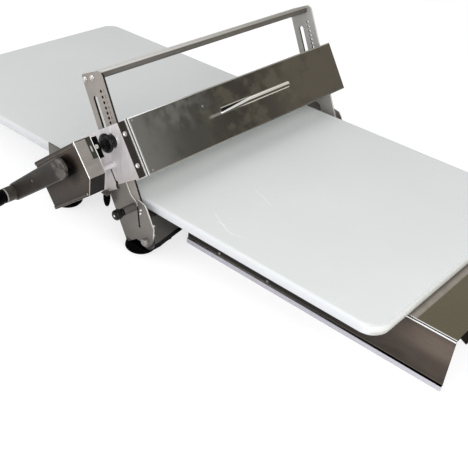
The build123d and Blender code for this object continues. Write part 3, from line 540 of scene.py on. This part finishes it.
def gearbox_steel():
    """Dark polished sides, a lighter front, painted shade on the slope under it, on its top and on the
    crank's boss, and painted highlights along its outer corner.
    """
    finish = Finish("gearbox_steel")
    lines = finish.brushed(grain_z, 0.15)
    within_side = finish.along(right, -0.6, -0.2, gearbox_side)
    front = finish.both(finish.facing(gearbox_front, 0.9, 0.985), within_side)
    tone = finish.mix(front, gearbox_wall(finish), gearbox_face(finish))
    # Painted shade on the slope and on the top
    tone = finish.mix(finish.facing(gearbox_slope, 0.9, 0.985), tone, (30, 26, 22))
    tone = finish.mix(finish.facing(gearbox_up, 0.85, 0.97), tone, (36, 30, 26))
    # Painted highlights along the outer corner
    corner = finish.band(left, -1.2, 0.2, 0.4, gearbox_side)
    tone = finish.mix(finish.both(corner, finish.facing(gearbox_slope, 0.5, 0.6)), tone, (168, 160, 152))
    tone = finish.mix(finish.both(corner, finish.facing(gearbox_front, 0.75, 0.85)), tone, highlight_white)
    # The boss in painted shadow of the crank's hub
    boss_middle = crank_axis + gearbox_side + left * 3
    tone = finish.mix(finish.near(boss_middle, 12.5, 13.2), tone, (12, 10, 9))
    return finish.done(tone, finish.rough(lines, 0.26, 0.4), finish.between(front, 0.7, 0.45))


def rim_steel():
    """Sheet edge behind the gearbox: a painted highlight above, with a dark joint to the cover, and duller
    below.
    """
    finish = Finish("rim_steel", 0.1)
    wear = finish.noise(160.0, detail=5.0)
    high = finish.mix(wear, (226, 226, 225), (242, 242, 241))
    low = finish.mix(wear, (150, 146, 143), (172, 168, 165))
    # Painted highlight along the upper part of the edge
    upper = finish.along(gearbox_up, 8, 13, roller_axis)
    tone = finish.mix(upper, low, high)
    joint = finish.along(left, -0.9, -0.7, lowest("gearbox_back"))
    tone = finish.mix(finish.both(upper, joint), tone, (40, 37, 33))
    return finish.done(tone, finish.rough(wear, 0.35, 0.5))


def arm_steel():
    """Dark forged bar, scuffed pale over its hub, partly as a painted highlight on its rounded end, with a
    small dent and a pale collar at the grip.
    """
    finish = Finish("arm_steel", 0.55)
    lines = finish.brushed((6.0, 6.0, 6.0), 0.2)
    mottle = finish.spread(finish.noise(26.0, detail=7.0), 0.3, 0.7)
    tone = finish.mix(mottle, (46, 42, 39), (62, 57, 52))
    hub = finish.along(-arm_out, -12, -6, crank_axis)
    # Pale scuffs over the hub, partly a painted highlight on its rounded end
    scuffs_and_highlight = finish.spread(finish.noise(130.0, detail=6.0), 0.38, 0.62)
    tone = finish.mix(hub, tone, finish.mix(scuffs_and_highlight, (58, 54, 50), (96, 92, 87)))
    dent = crank_axis + arm_out * 71 - arm_side * 2 + left * 312
    tone = finish.mix(finish.near(dent, 0.8, 2), tone, (132, 128, 122))
    collar = finish.band(right, 0.5, 1.9, 0.3, highest("grip"))
    tone = finish.mix(collar, tone, (150, 147, 142))
    return finish.done(tone, finish.rough(lines, 0.34, 0.5))


# Upper end of the tray's hems, counted down from the board's top
hem_drop = 82.3
hem_ledge = up * -hem_drop


def tray_wall(finish):
    """Colours of the tray's walls: dark, darker back from the far end as painted shade from the board, and
    lighter with a painted sheen towards the far end.
    """
    # Painted shade from the board, lifting towards the far end
    tone = finish.mix(finish.along(forward, 340, 500), (46, 44, 44), (80, 72, 66))
    sweep = finish.spread(finish.noise(9.0, (1.6, 1.0, 3.0)), 0.45, 0.75, 0.0, 0.5)
    tone = finish.mix(sweep, tone, (48, 43, 40))
    # Painted sheen on the wall towards the far end
    wall_sheen = finish.both(finish.band(up, -41, -29, 16), finish.along(forward, 420, 515))
    return finish.mix(finish.both(wall_sheen, 0.6), tone, (120, 108, 99))


def tray_cover(finish):
    """Colours of the tray's top: olive, with a painted reflection of the board's end as a pale strip where
    that end lies.
    """
    tone = finish.mix(finish.noise(7.0), (108, 101, 83), (124, 117, 99))
    tone = finish.mix(finish.along(right, 0, 120), tone, (102, 93, 77))
    # Painted reflection of the board's end, a pale strip where it lies
    ragged = finish.spread(finish.noise(60.0), 0.3, 0.6, 0.75, 1.0)
    rubbing_and_reflection = finish.both(finish.band(forward, 464, 472.5, 2.5), ragged)
    return finish.mix(rubbing_and_reflection, tone, (172, 165, 156))


def tray_bends(finish, tone):
    """Lays two painted highlights and a line of painted shade between them over a tone, along the bends from
    the top to the walls.
    """
    # Painted highlights along each bend, with a line of painted shade between them
    low_line = finish.both(finish.facing(up, 0.1, 0.16), finish.facing(-up, -0.58, -0.52))
    high_line = finish.both(finish.facing(up, 0.84, 0.88), finish.facing(-up, -0.985, -0.955))
    bend_shade = finish.both(finish.facing(up, 0.52, 0.58), finish.facing(-up, -0.88, -0.82))
    sides = finish.either(finish.facing(left, 0.1, 0.2), finish.facing(right, 0.1, 0.2))
    tone = finish.mix(finish.both(bend_shade, sides), tone, (48, 44, 40))
    bright = finish.both(finish.either(low_line, high_line), sides)
    return finish.mix(bright, tone, highlight_white)


def tray_hems(finish, tone):
    """Lays pale hems, the painted shadow of the seam over them and painted shade on the inside of the far
    wall over a tone.
    """
    lip = finish.band(-up, -2.9, -2.1, 0.3, hem_ledge)
    tone = finish.mix(finish.both(lip, 0.35), tone, (136, 130, 120))
    # Painted shadow in the seam above the hem
    seam_shadow = finish.both(finish.band(-up, -1.7, 0, 0.2, hem_ledge), finish.along(forward, 200, 460))
    tone = finish.mix(seam_shadow, tone, (10, 9, 9))
    tone = finish.mix(finish.along(-up, 0, 0.2, hem_ledge), tone, (196, 194, 202))
    # Painted shade on the inside of the far wall
    inside = finish.both(finish.facing(left, 0.3, 0.6), finish.along(right, 100, 120))
    return finish.mix(inside, tone, (10, 9, 9))


def tray_steel():
    """Olive top, dark walls, a tab at the far end in painted shade and pale turned-back hems."""
    finish = Finish("tray_steel")
    finish.set("Specular IOR Level", 0.0)
    lines = finish.lines(grain_x)
    # The far end's tab in painted shade
    tab = finish.facing(forward, 0.5, 0.9)
    wall = finish.mix(tab, tray_wall(finish), (27, 24, 21))
    tone = finish.mix(finish.facing(up, 0.95, 0.995), wall, tray_cover(finish))
    tone = tray_hems(finish, tray_bends(finish, tone))
    return finish.done(tone, finish.rough(lines, 0.27, 0.31), finish.between(tab, 0.7, 0.0))


# Centre of the front panel's arch, and how far its rim reaches from there
arch_centre = Vector((110.0, 0, -893.3))
arch_rim = 853.3


def panel_steel():
    """Dark sheet with a black rim along its arch."""
    finish = Finish("panel_steel", 0.5)
    lines = finish.brushed(grain_y, 0.1)
    tone = finish.mix(finish.clouds(9.0), (66, 63, 59), (80, 77, 72))
    tone = finish.mix(finish.along(right, -200, -100), tone, (98, 95, 90))
    rim = finish.near(arch_centre, arch_rim, arch_rim + 1.5)
    foot = finish.along(-up, 62.5, 64)
    black = finish.either(rim, foot)
    tone = finish.mix(black, tone, (4, 4, 4))
    return finish.done(tone, finish.rough(lines, 0.34, 0.5), finish.between(black, 0.5, 1.0))


# Scratches on the board's top: start, end and half the width
scratches = [
    ((180, -167), (215, -183), 0.6),
    ((215, -183), (225, -185), 0.5),
    ((193, -178), (205, -176), 0.5),
    ((226, -184), (236, -181), 0.5),
    ((173, -78), (192, -84), 0.4),
    ((192, -84), (213, -93), 0.5),
]
scratch_fade = 4


def scratch_mask(finish, start, end, width):
    """Mask of one thin scratch."""
    first = Vector((*start, 0))
    length = Vector((*end, 0)) - first
    run = length.normalized()
    line = finish.band(up.cross(run), -width, width, width, first)
    reach = finish.band(run, 0, length.length, scratch_fade, first)
    return finish.both(line, reach)


def board_plastic():
    """Milky cutting-board plastic with faint scratches and a waxy sheen."""
    finish = Finish("board_plastic")
    finish.set("Specular IOR Level", 0.25)
    finish.set("Subsurface Weight", 0.08)
    finish.set("Subsurface Radius", (4 * mm, 4 * mm, 4 * mm))
    mottle = finish.noise(6.0, detail=5.0)
    tone = finish.mix(mottle, (208, 211, 210), (215, 218, 217))
    hair = finish.spread(finish.noise(60.0, (0.35, 6.0, 1.0), 2.0), 0.7, 0.76)
    crossing = finish.spread(finish.noise(48.0, (7.0, 0.5, 1.0), 2.0), 0.71, 0.77)
    tone = finish.mix(finish.both(finish.either(hair, crossing), 0.3), tone, (236, 238, 239))
    for scratch in scratches:
        tone = finish.mix(finish.both(scratch_mask(finish, *scratch), 0.35), tone, (246, 247, 247))
    # Painted shade down the board's end, darkest along its lower edge
    end_rim = finish.mix(finish.along(up, -9.5, -6.5), (172, 171, 166), (200, 201, 197))
    end_rim = finish.mix(finish.along(up, -13.2, -11.5), (98, 95, 90), end_rim)
    rim = finish.mix(finish.facing(forward, 0.3, 0.8), (207, 209, 212), end_rim)
    tone = finish.mix(finish.facing(up, 0.5, 0.98), rim, tone)
    # Painted shade over the rounded edge at the board's end
    rounding = finish.both(finish.facing(up, 0.5, 0.7), finish.facing(forward, 0.1, 0.3))
    tone = finish.mix(rounding, tone, (198, 201, 200))
    finish.bump(finish.noise(700.0, detail=2.0), 0.1, 0.15)
    return finish.done(tone, finish.rough(mottle, 0.38, 0.52))


def black_plastic(name, grain_scale, rough, shine):
    """Black moulding with a fine grain."""
    finish = Finish(name)
    finish.set("Specular IOR Level", shine)
    grain = finish.noise(grain_scale, detail=2.0)
    finish.bump(grain, 0.2, 0.2)
    tone = finish.mix(grain, (2, 2, 2), (7, 7, 7))
    return finish.done(tone, finish.rough(grain, rough - 0.06, rough + 0.08))


def pale_plastic(name, colour):
    """Smooth pale moulding with faint mottling."""
    finish = Finish(name)
    mottle = finish.noise(18.0, detail=4.0)
    tone = finish.mix(mottle, [value - 10 for value in colour], colour)
    return finish.done(tone, finish.rough(mottle, 0.35, 0.5))


def metal(name, colour, rough, metallic=0.9):
    """Plain worn metal."""
    finish = Finish(name, metallic)
    wear = finish.noise(160.0, detail=5.0)
    tone = finish.mix(wear, [0.8 * value for value in colour], colour)
    return finish.done(tone, finish.rough(wear, rough - 0.05, rough + 0.1))


# Greys of the cut edges, partly wear and partly painted highlight
edge_grey = (206, 204, 200)
base_edge_grey = (208, 206, 202)
upright_steel = plate_steel("upright_steel", (128, 121, 115), (148, 141, 135), edge_grey, left_upright_edges)
# The far upright's steel is a lighter copy: painted light over the shade it lies in
far_upright_painted_light = plate_steel("far_upright_painted_light", (152, 150, 146), (170, 168, 165), edge_grey, slot_walls)
base_plate_steel = plate_steel("base_plate_steel", (96, 91, 86), (116, 111, 106), base_edge_grey,
                               base_slit_walls)
bright_steel = metal("bright_steel", (226, 224, 221), 0.2)
grey_steel = metal("grey_steel", (150, 147, 143), 0.3, 0.6)
dark_steel = metal("dark_steel", (120, 116, 112), 0.35)
shaft_steel = metal("shaft_steel", (214, 209, 211), 0.4, 0.1)
bracket_steel = metal("bracket_steel", (92, 88, 85), 0.45, 0.3)
rubber = black_plastic("rubber", 900.0, 0.62, 0.01)
knob_plastic = black_plastic("knob_plastic", 500.0, 0.28, 0.22)
grip_plastic = black_plastic("grip_plastic", 500.0, 0.34, 0.03)
mark_black = black_plastic("mark_black", 2000.0, 0.6, 0.1)
roller_plastic = pale_plastic("roller_plastic", (222, 222, 218))
glide_plastic = pale_plastic("glide_plastic", (214, 211, 211))

finishes = {
    hood_steel(): ["hood"],
    slider_steel(): ["left_slider", "right_slider"],
    gearbox_steel(): ["gearbox_cover"],
    rim_steel(): ["gearbox_back"],
    tray_steel(): ["front_tray"],
    board_plastic(): ["board"],
    panel_steel(): ["deck", "front_panel", "rear_panel"],
    bar_steel(): ["handle_bar"],
    arm_steel(): ["crank_arm", "crank_shaft", "grip_pin"],
    guide_steel(): ["board_guide"],
    upright_steel: ["left_upright"],
    far_upright_painted_light: ["right_upright"],
    base_plate_steel: ["left_base_plate", "right_base_plate", "stop_blocks"],
    bright_steel: ["base_rivets", "handle_screws", "flange_screws", "block_screw", "left_index_barrel",
                   "right_index_barrel", "guide_studs"],
    grey_steel: ["pivot_bolts", "tray_rivets"],
    dark_steel: ["gearbox_posts", "roller_gear", "crank_pinion"],
    shaft_steel: ["roller_shaft"],
    bracket_steel: ["buffer_bracket", "lock_barrel"],
    rubber: ["rubber_feet", "rubber_buffer", "foot_plates"],
    knob_plastic: ["left_index_knob", "right_index_knob", "lock_knob"],
    grip_plastic: ["grip", "gearbox_block"],
    roller_plastic: ["roller_body"],
    glide_plastic: ["glide_strips", "left_guide", "right_guide", "left_bush", "right_bush"],
}
for material, names in finishes.items():
    for name in names:
        mesh = nodes[name].data
        mesh.materials.clear()
        mesh.materials.append(material)


# Broken edges of the CAD nodes, by their width

edge_widths = {
    0.35: ["left_upright", "right_upright", "left_base_plate", "right_base_plate", "left_slider",
           "right_slider", "hood", "front_panel", "rear_panel", "deck", "front_tray", "foot_plates",
           "buffer_bracket", "board_guide", "handle_bar", "gearbox_back", "glide_strips", "left_bush",
           "right_bush", "roller_gear", "crank_pinion"],
    0.5: ["gearbox_cover", "stop_blocks", "left_guide", "right_guide", "gearbox_block", "gearbox_posts",
          "left_index_barrel", "right_index_barrel", "lock_barrel", "crank_shaft", "grip_pin",
          "roller_shaft"],
    0.8: ["crank_arm", "roller_body"],
}
weld_reach = 0.01
flat_angle = 0.5
broken_angle = 35
edge_steps = 2


def break_edges(node, width):
    """Joins a node's facets into faces and rounds its sharp edges."""
    weld = node.modifiers.new("weld", "WELD")
    weld.merge_threshold = weld_reach * mm
    join = node.modifiers.new("join", "DECIMATE")
    join.decimate_type = "DISSOLVE"
    join.angle_limit = radians(flat_angle)
    bevel = node.modifiers.new("bevel", "BEVEL")
    bevel.width = width * mm
    bevel.segments = edge_steps
    bevel.limit_method = "ANGLE"
    bevel.angle_limit = radians(broken_angle)
    weighted = node.modifiers.new("weighted", "WEIGHTED_NORMAL")
    weighted.keep_sharp = False


for width, names in edge_widths.items():
    for name in names:
        break_edges(nodes[name], width)


# Turned pieces: rings of (height, radius, outline), made from profiles of (height, radius, rounding)

ring_steps = 48
round_steps = 4
dome_steps = 6
sharp_angle = 38.0
double_reach = 1e-7
flutes = 10
flute_depth = 0.05


def circle(angle):
    """Outline of a round ring: the share of its radius at an angle."""
    return 1.0


def hexagon(angle):
    """The same for a ring with six flats."""
    return cos(pi / 6) / cos(angle % (pi / 3) - pi / 6)


def fluted(angle):
    """The same for a ring with finger grooves."""
    return 1.0 - flute_depth * max(0.0, cos(flutes * angle))


def rounded(profile, outline=circle):
    """Rings along a profile, with its corners rounded."""
    rings = []
    for index, (height, radius, rounding) in enumerate(profile):
        corner = Vector((height, radius))
        if rounding == 0:
            rings.append((height, radius, outline))
            continue
        before = Vector(profile[index - 1][:2])
        after = Vector(profile[index + 1][:2])
        first = corner + (before - corner).normalized() * rounding
        last = corner + (after - corner).normalized() * rounding
        for step in range(round_steps + 1):
            part = step / round_steps
            point = first * (1 - part) ** 2 + corner * 2 * part * (1 - part) + last * part ** 2
            rings.append((point.x, point.y, outline))
    return rings


def add_turned(shape, rings, origin, direction):
    """Adds to a bmesh the skin through rings stacked along a direction."""
    turn = direction.to_track_quat("Z", "Y").to_matrix()
    loops = []
    for height, radius, outline in rings:
        angles = [2 * pi * step / ring_steps for step in range(ring_steps)] if radius > 0 else [0.0]
        loop = []
        for angle in angles:
            reach = radius * outline(angle)
            point = Vector((reach * cos(angle), reach * sin(angle), height))
            loop.append(shape.verts.new((origin + turn @ point) * mm))
        loops.append(loop)
    for lower, upper in zip(loops, loops[1:]):
        for step in range(ring_steps):
            following = (step + 1) % ring_steps
            if len(lower) == 1:
                shape.faces.new((lower[0], upper[following], upper[step]))
            elif len(upper) == 1:
                shape.faces.new((lower[step], lower[following], upper[0]))
            else:
                shape.faces.new((lower[step], lower[following], upper[following], upper[step]))


def add_piece(name, shape, material, body, slot, *stands_for):
    """Turns a bmesh into a piece that rides on a body and stands for CAD nodes, if any are named."""
    bmesh.ops.remove_doubles(shape, verts=shape.verts, dist=double_reach)
    bmesh.ops.recalc_face_normals(shape, faces=shape.faces)
    mesh = bpy.data.meshes.new(name)
    shape.to_mesh(mesh)
    shape.free()
    mesh.shade_smooth()
    mesh.set_sharp_from_angle(angle=radians(sharp_angle))
    mesh.materials.append(material)
    piece = bpy.data.objects.new(name, mesh)
    bpy.context.scene.collection.objects.link(piece)
    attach(piece, body)
    if stands_for:
        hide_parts(*stands_for)


def turned_piece(name, rings, places, material, body, slot, *stands_for):
    """One piece of equal turned solids at places of (origin, direction)."""
    shape = bmesh.new()
    for origin, direction in places:
        add_turned(shape, rings, origin, direction)
    add_piece(name, shape, material, body, slot, *stands_for)


def button_head(radius, height, shank, length):
    """Rings of a button-head screw with a hexagonal recess; its shank reaches back by the length."""
    recess = 0.42 * radius
    bottom = 0.4 * height
    body = [(-length, 0, 0), (-length, shank, 0), (0, shank, 0), (0, radius, 0.1),
            (0.3 * height, radius, 0.25), (0.85 * height, 0.62 * radius, 0.4), (height, 1.25 * recess, 0)]
    socket = [(height, recess, hexagon), (bottom, recess, hexagon), (bottom, 0, circle)]
    return rounded(body) + socket


def dome(radius, height):
    """Rings of a rivet's head."""
    angles = [pi / 2 * step / dome_steps for step in range(dome_steps)]
    curve = [(height * sin(angle), radius * cos(angle), circle) for angle in angles]
    return [(0, 0, circle)] + curve + [(height, 0, circle)]


def mirrored(vector):
    """A point's or direction's image on the other side of the machine."""
    return Vector((vector.x, -vector.y, vector.z))


def both_sides(points, direction):
    """Places at the points and at their mirror images across the machine."""
    places = []
    for point in points:
        places.append((point, direction))
        places.append((mirrored(point), mirrored(direction)))
    return places


# Knobs of the index plungers, from the pin over the ring to the cap
index_spot = (15.8, 32.65)
ring_face = 228.6
index_profile = [
    (-6.3, 0, 0), (-6.3, 1.9, 0), (6.8, 1.9, 0), (6.8, 5.3, 0), (0, 5.3, 0), (0, 9.5, 0.8),
    (5.4, 9.5, 0.9), (6.3, 7.9, 0.5), (7.8, 7.9, 0.5), (8.3, 13.2, 0.7), (10.6, 13.5, 1.4),
    (13.4, 11.6, 2.2), (14.5, 6.6, 2.0), (14.5, 0, 0),
]
for side, direction in (("left", left), ("right", right)):
    index_places = [(on_frame(*index_spot, ring_face * direction.y), direction)]
    turned_piece(side + "_index_grip", rounded(index_profile), index_places, knob_plastic,
                 side + "_index", "black_plastic", side + "_index_knob")

# Knob of the lock plunger, with the bright end of its pin, which also stands in for a highlight on the crown
lock_spot = (14.0, -61.0)
lock_start = on_frame(*lock_spot, lowest("lock_barrel").y)
lock_length = 15.0
lock_shank = rounded([(-22, 0, 0), (-22, 2.5, 0), (0, 2.5, 0), (0, 5.4, 0.5), (3.4, 5.4, 0.6),
                      (4.2, 4.4, 0.3), (5.0, 4.4, 0)])
lock_head = rounded([(5.2, 6.2, 0), (6.2, 7.2, 0.5), (12.6, 7.2, 0)], fluted)
lock_crown = rounded([(13.6, 6.7, 0), (lock_length, 5.0, 0.8), (lock_length, 0, 0)])
turned_piece("lock_grip", lock_shank + lock_head + lock_crown, [(lock_start, left)], knob_plastic,
             "lock", "black_plastic", "lock_knob")
lock_end = lock_start + left * lock_length
turned_piece("lock_pin_end", dome(radius=1.6, height=0.5), [(lock_end, left)], bright_steel,
             "lock", "turned_steel")

# Grip of the crank, a sleeve around its pin
grip_bore = 4.55
grip_length = 80
grip_start = grip_axis + right * highest("grip").y
grip_profile = [
    (0, grip_bore, 0), (0, 9.9, 0.8), (2.4, 10.1, 0.4), (3.0, 9.5, 0.3), (4.0, 9.6, 0.3),
    (4.6, 10.6, 0.5), (12, 11.45, 5.0), (40, 11.0, 16.0), (68, 11.45, 5.0), (76, 10.7, 3.0),
    (grip_length, 7.0, 1.6), (grip_length, grip_bore, 0), (0, grip_bore, 0),
]
turned_piece("crank_grip", rounded(grip_profile), [(grip_start, left)], grip_plastic, "grip",
             "black_plastic", "grip")

# Rubber feet, set in from the corners of their common box, and the rubber buffer
foot_radius = 23
foot_low = lowest("rubber_feet")
foot_high = highest("rubber_feet")
foot_places = [(Vector((x, y, foot_low.z)), up)
               for x in (foot_high.x - foot_radius, foot_low.x + foot_radius)
               for y in (foot_high.y - foot_radius, foot_low.y + foot_radius)]
foot_profile = [
    (0, 0, 0), (0, 11.5, 0.6), (1.2, 13.0, 0.6), (1.2, 15.8, 0.6), (0, 17.3, 0.6), (0, 19.4, 1.2),
    (4.0, 22.9, 1.6), (5.8, 22.4, 0.4), (6.5, 21.5, 0.3), (7.4, 22.0, 0.4), (16.6, 19.8, 0.6),
    (18, 19.2, 0), (18, 0, 0),
]
turned_piece("foot_pads", rounded(foot_profile), foot_places, rubber, "base", "black_rubber",
             "rubber_feet")

buffer_top = Vector((36, -231.6, -6))
buffer_profile = [
    (0, 0, 0), (0, 4.7, 0.5), (4, 5.0, 1.5), (9, 4.9, 2.6), (15, 4.0, 2.6), (19.6, 2.2, 1.4), (21, 0, 0),
]
turned_piece("drop_buffer", rounded(buffer_profile), [(buffer_top, -up)], rubber, "carriage",
             "black_rubber", "rubber_buffer")

# Screws of the handle bar
bar_screw_rise = 116.6
bar_points = [on_frame(ahead, bar_screw_rise, -upright_face) for ahead in (-10.1, 5.9)]
bar_screw = button_head(radius=4.25, height=2.4, shank=2.0, length=5.0)
turned_piece("bar_screws", bar_screw, both_sides(bar_points, left), bright_steel, "frame",
             "turned_steel", "handle_screws")

# Screws of the hood's flange
flange_line = -221.5
flange_points = [on_hood(hood_flange_ahead, rise, flange_line) for rise in (33, -11)]
flange_screw = button_head(radius=3.5, height=2.0, shank=1.5, length=0.1)
turned_piece("hood_screws", flange_screw, both_sides(flange_points, hood_front), bright_steel,
             "carriage", "turned_steel", "flange_screws")

# Screw of the gearbox's block
block_point = on_hood(ahead=40.5, rise=31, across=-267.5)
block_screw = button_head(radius=3.0, height=2.0, shank=1.3, length=0.1)
turned_piece("stop_screw", block_screw, [(block_point, hood_front)], bright_steel, "carriage",
             "turned_steel", "block_screw")

# Bolts that the frame swings on: shank, hexagonal head with a chamfer, and a dished end
bolt_rings = [
    (-5.3, 0, circle), (-5.3, 3, circle), (0, 3, circle), (0, 5.6, hexagon), (3.9, 5.6, hexagon),
    (4.5, 4.7, circle), (4.5, 3.2, circle), (4.2, 2.9, circle), (4.2, 0, circle),
]
pivot_points = [pivot_axis + left * base_plate_face]
turned_piece("pivot_screws", bolt_rings, both_sides(pivot_points, left), grey_steel, "base",
             "turned_steel", "pivot_bolts")

# Rivets of the base: two in front of the panel's ends and two at the side of each base plate
rivet_height = 1.6
large_rivet = dome(radius=2.2, height=rivet_height)
small_rivet = dome(radius=2.0, height=rivet_height)
panel_face = 110
panel_rivet_line = -212.5
panel_points = [Vector((panel_face, panel_rivet_line, level)) for level in (-32, -47)]
plate_points = [on_frame(*spot, -base_plate_face) for spot in ((26.1, -66), (23.1, -71))]
base_shape = bmesh.new()
for place in both_sides(panel_points, forward):
    add_turned(base_shape, large_rivet, *place)
for place in both_sides(plate_points, left):
    add_turned(base_shape, small_rivet, *place)
add_piece("side_rivets", base_shape, bright_steel, "base", "turned_steel", "base_rivets")

# Rivets of the tray's hems, on walls that flare from half the top's width
tray_half_width = 140
wall_flare = 5.0
rivet_level = -78
tray_top = highest("front_tray").z
wall_slope = wall_flare / (tray_top - lowest("front_tray").z)
wall_facing = Vector((0, -1, wall_slope)).normalized()
wall_line = -tray_half_width - (tray_top - rivet_level) * wall_slope
wall_points = [Vector((x, wall_line, rivet_level)) for x in (172, 260)]
turned_piece("hem_rivets", large_rivet, both_sides(wall_points, wall_facing), grey_steel, "base",
             "turned_steel", "tray_rivets")

# Weld spots on the hood's face: rise and place across
weld_spots = ((-23.6, -206.1), (45.9, -208.5), (29.9, -85.2))
weld_places = [(on_hood(hood_face_ahead, *spot), hood_front) for spot in weld_spots]
turned_piece("hood_spots", dome(radius=1.6, height=0.4), weld_places, grey_steel, "carriage",
             "turned_steel")


# Numbers beside the index holes, which lie closer together towards the fine settings

hole_count = 12
first_hole = 97.5
first_pitch = 7.7
pitch_loss = 0.27
number_line = 22.0
number_height = 3.8
number_thickness = 0.03
number_lift = 0.02
figure_share = 0.7
figure_steps = 3


def index_height(number):
    """Height of an index hole along the slot, counted from the top."""
    return first_hole - first_pitch * number + pitch_loss * number * (number - 1) / 2


def add_numbers(side, direction):
    """Thin dark numbers on an upright's outer face, as one piece."""
    x_axis = frame_front * -direction.y
    turn = Matrix((x_axis, frame_up, direction)).transposed().to_4x4()
    across = direction.y * (upright_face + number_lift)
    shape = bmesh.new()
    for number in range(hole_count):
        curve = bpy.data.curves.new("number", "FONT")
        curve.body = str(number + 1)
        curve.size = number_height * mm / figure_share
        curve.align_x = "CENTER"
        curve.align_y = "CENTER"
        curve.extrude = number_thickness * mm
        curve.resolution_u = figure_steps
        text = bpy.data.objects.new("number", curve)
        mesh = bpy.data.meshes.new_from_object(text)
        place = on_frame(number_line, index_height(number), across)
        mesh.transform(Matrix.Translation(place * mm) @ turn)
        shape.from_mesh(mesh)
        bpy.data.objects.remove(text)
        bpy.data.curves.remove(curve)
        bpy.data.meshes.remove(mesh)
    add_piece(side + "_numbers", shape, mark_black, "frame", "plate_steel")


add_numbers("left", left)
add_numbers("right", right)


# Stage: pale floor, soft light and the photograph's camera

def floor_finish():
    """Pale floor that the camera and the metal see nearly white, with the object's shadow kept."""
    finish = Finish("floor")
    rays = finish.tree.nodes.new("ShaderNodeLightPath").outputs
    seen = finish.maths("ADD", rays["Is Camera Ray"], rays["Is Glossy Ray"])
    seen = finish.maths("ADD", seen, rays["Is Transmission Ray"])
    finish.set("Emission Color", (1, 1, 1, 1))
    finish.feed(finish.shader.inputs["Emission Strength"], finish.both(seen, floor_glow))
    finish.set("Specular IOR Level", 0.0)
    return finish.done(finish.mix(seen, floor_lit, floor_seen), floor_roughness)


def add_floor():
    """A wide square under the feet."""
    half = floor_size / 2
    corners = [(x * half, y * half, floor_level) for x, y in ((-1, -1), (1, -1), (1, 1), (-1, 1))]
    mesh = bpy.data.meshes.new("floor")
    mesh.from_pydata(corners, [], [(0, 1, 2, 3)])
    mesh.materials.append(floor_finish())
    floor = bpy.data.objects.new("floor", mesh)
    bpy.context.scene.collection.objects.link(floor)


def add_softbox(name, place, width, power):
    """A square soft light at a place, turned to the origin."""
    data = bpy.data.lights.new(name, "AREA")
    data.size = width
    data.energy = power
    light = bpy.data.objects.new(name, data)
    light.location = place
    light.rotation_mode = "QUATERNION"
    light.rotation_quaternion = (-Vector(place)).to_track_quat("-Z", "Y")
    bpy.context.scene.collection.objects.link(light)


def add_world():
    """Even white light from all around."""
    world = bpy.data.worlds.new("studio")
    world.use_nodes = True
    background = world.node_tree.nodes["Background"]
    background.inputs["Color"].default_value = (1, 1, 1, 1)
    background.inputs["Strength"].default_value = world_strength
    bpy.context.scene.world = world


def add_camera():
    """The photograph's camera."""
    azimuth = radians(camera_azimuth)
    elevation = radians(camera_elevation)
    sight = Vector((-sin(azimuth) * cos(elevation), cos(azimuth) * cos(elevation), -sin(elevation)))
    roll = Quaternion((0, 0, 1), radians(camera_roll))
    data = bpy.data.cameras.new("camera")
    data.lens = camera_lens
    data.sensor_width = sensor_size
    data.clip_end = 4 * floor_size
    camera = bpy.data.objects.new("camera", data)
    camera.location = camera_place
    camera.rotation_mode = "QUATERNION"
    camera.rotation_quaternion = sight.to_track_quat("-Z", "Y") @ roll
    bpy.context.scene.collection.objects.link(camera)
    bpy.context.scene.camera = camera


add_floor()
add_world()
for name, settings in softboxes.items():
    add_softbox(name, *settings)
add_camera()
bpy.context.scene.view_settings.view_transform = "Standard"
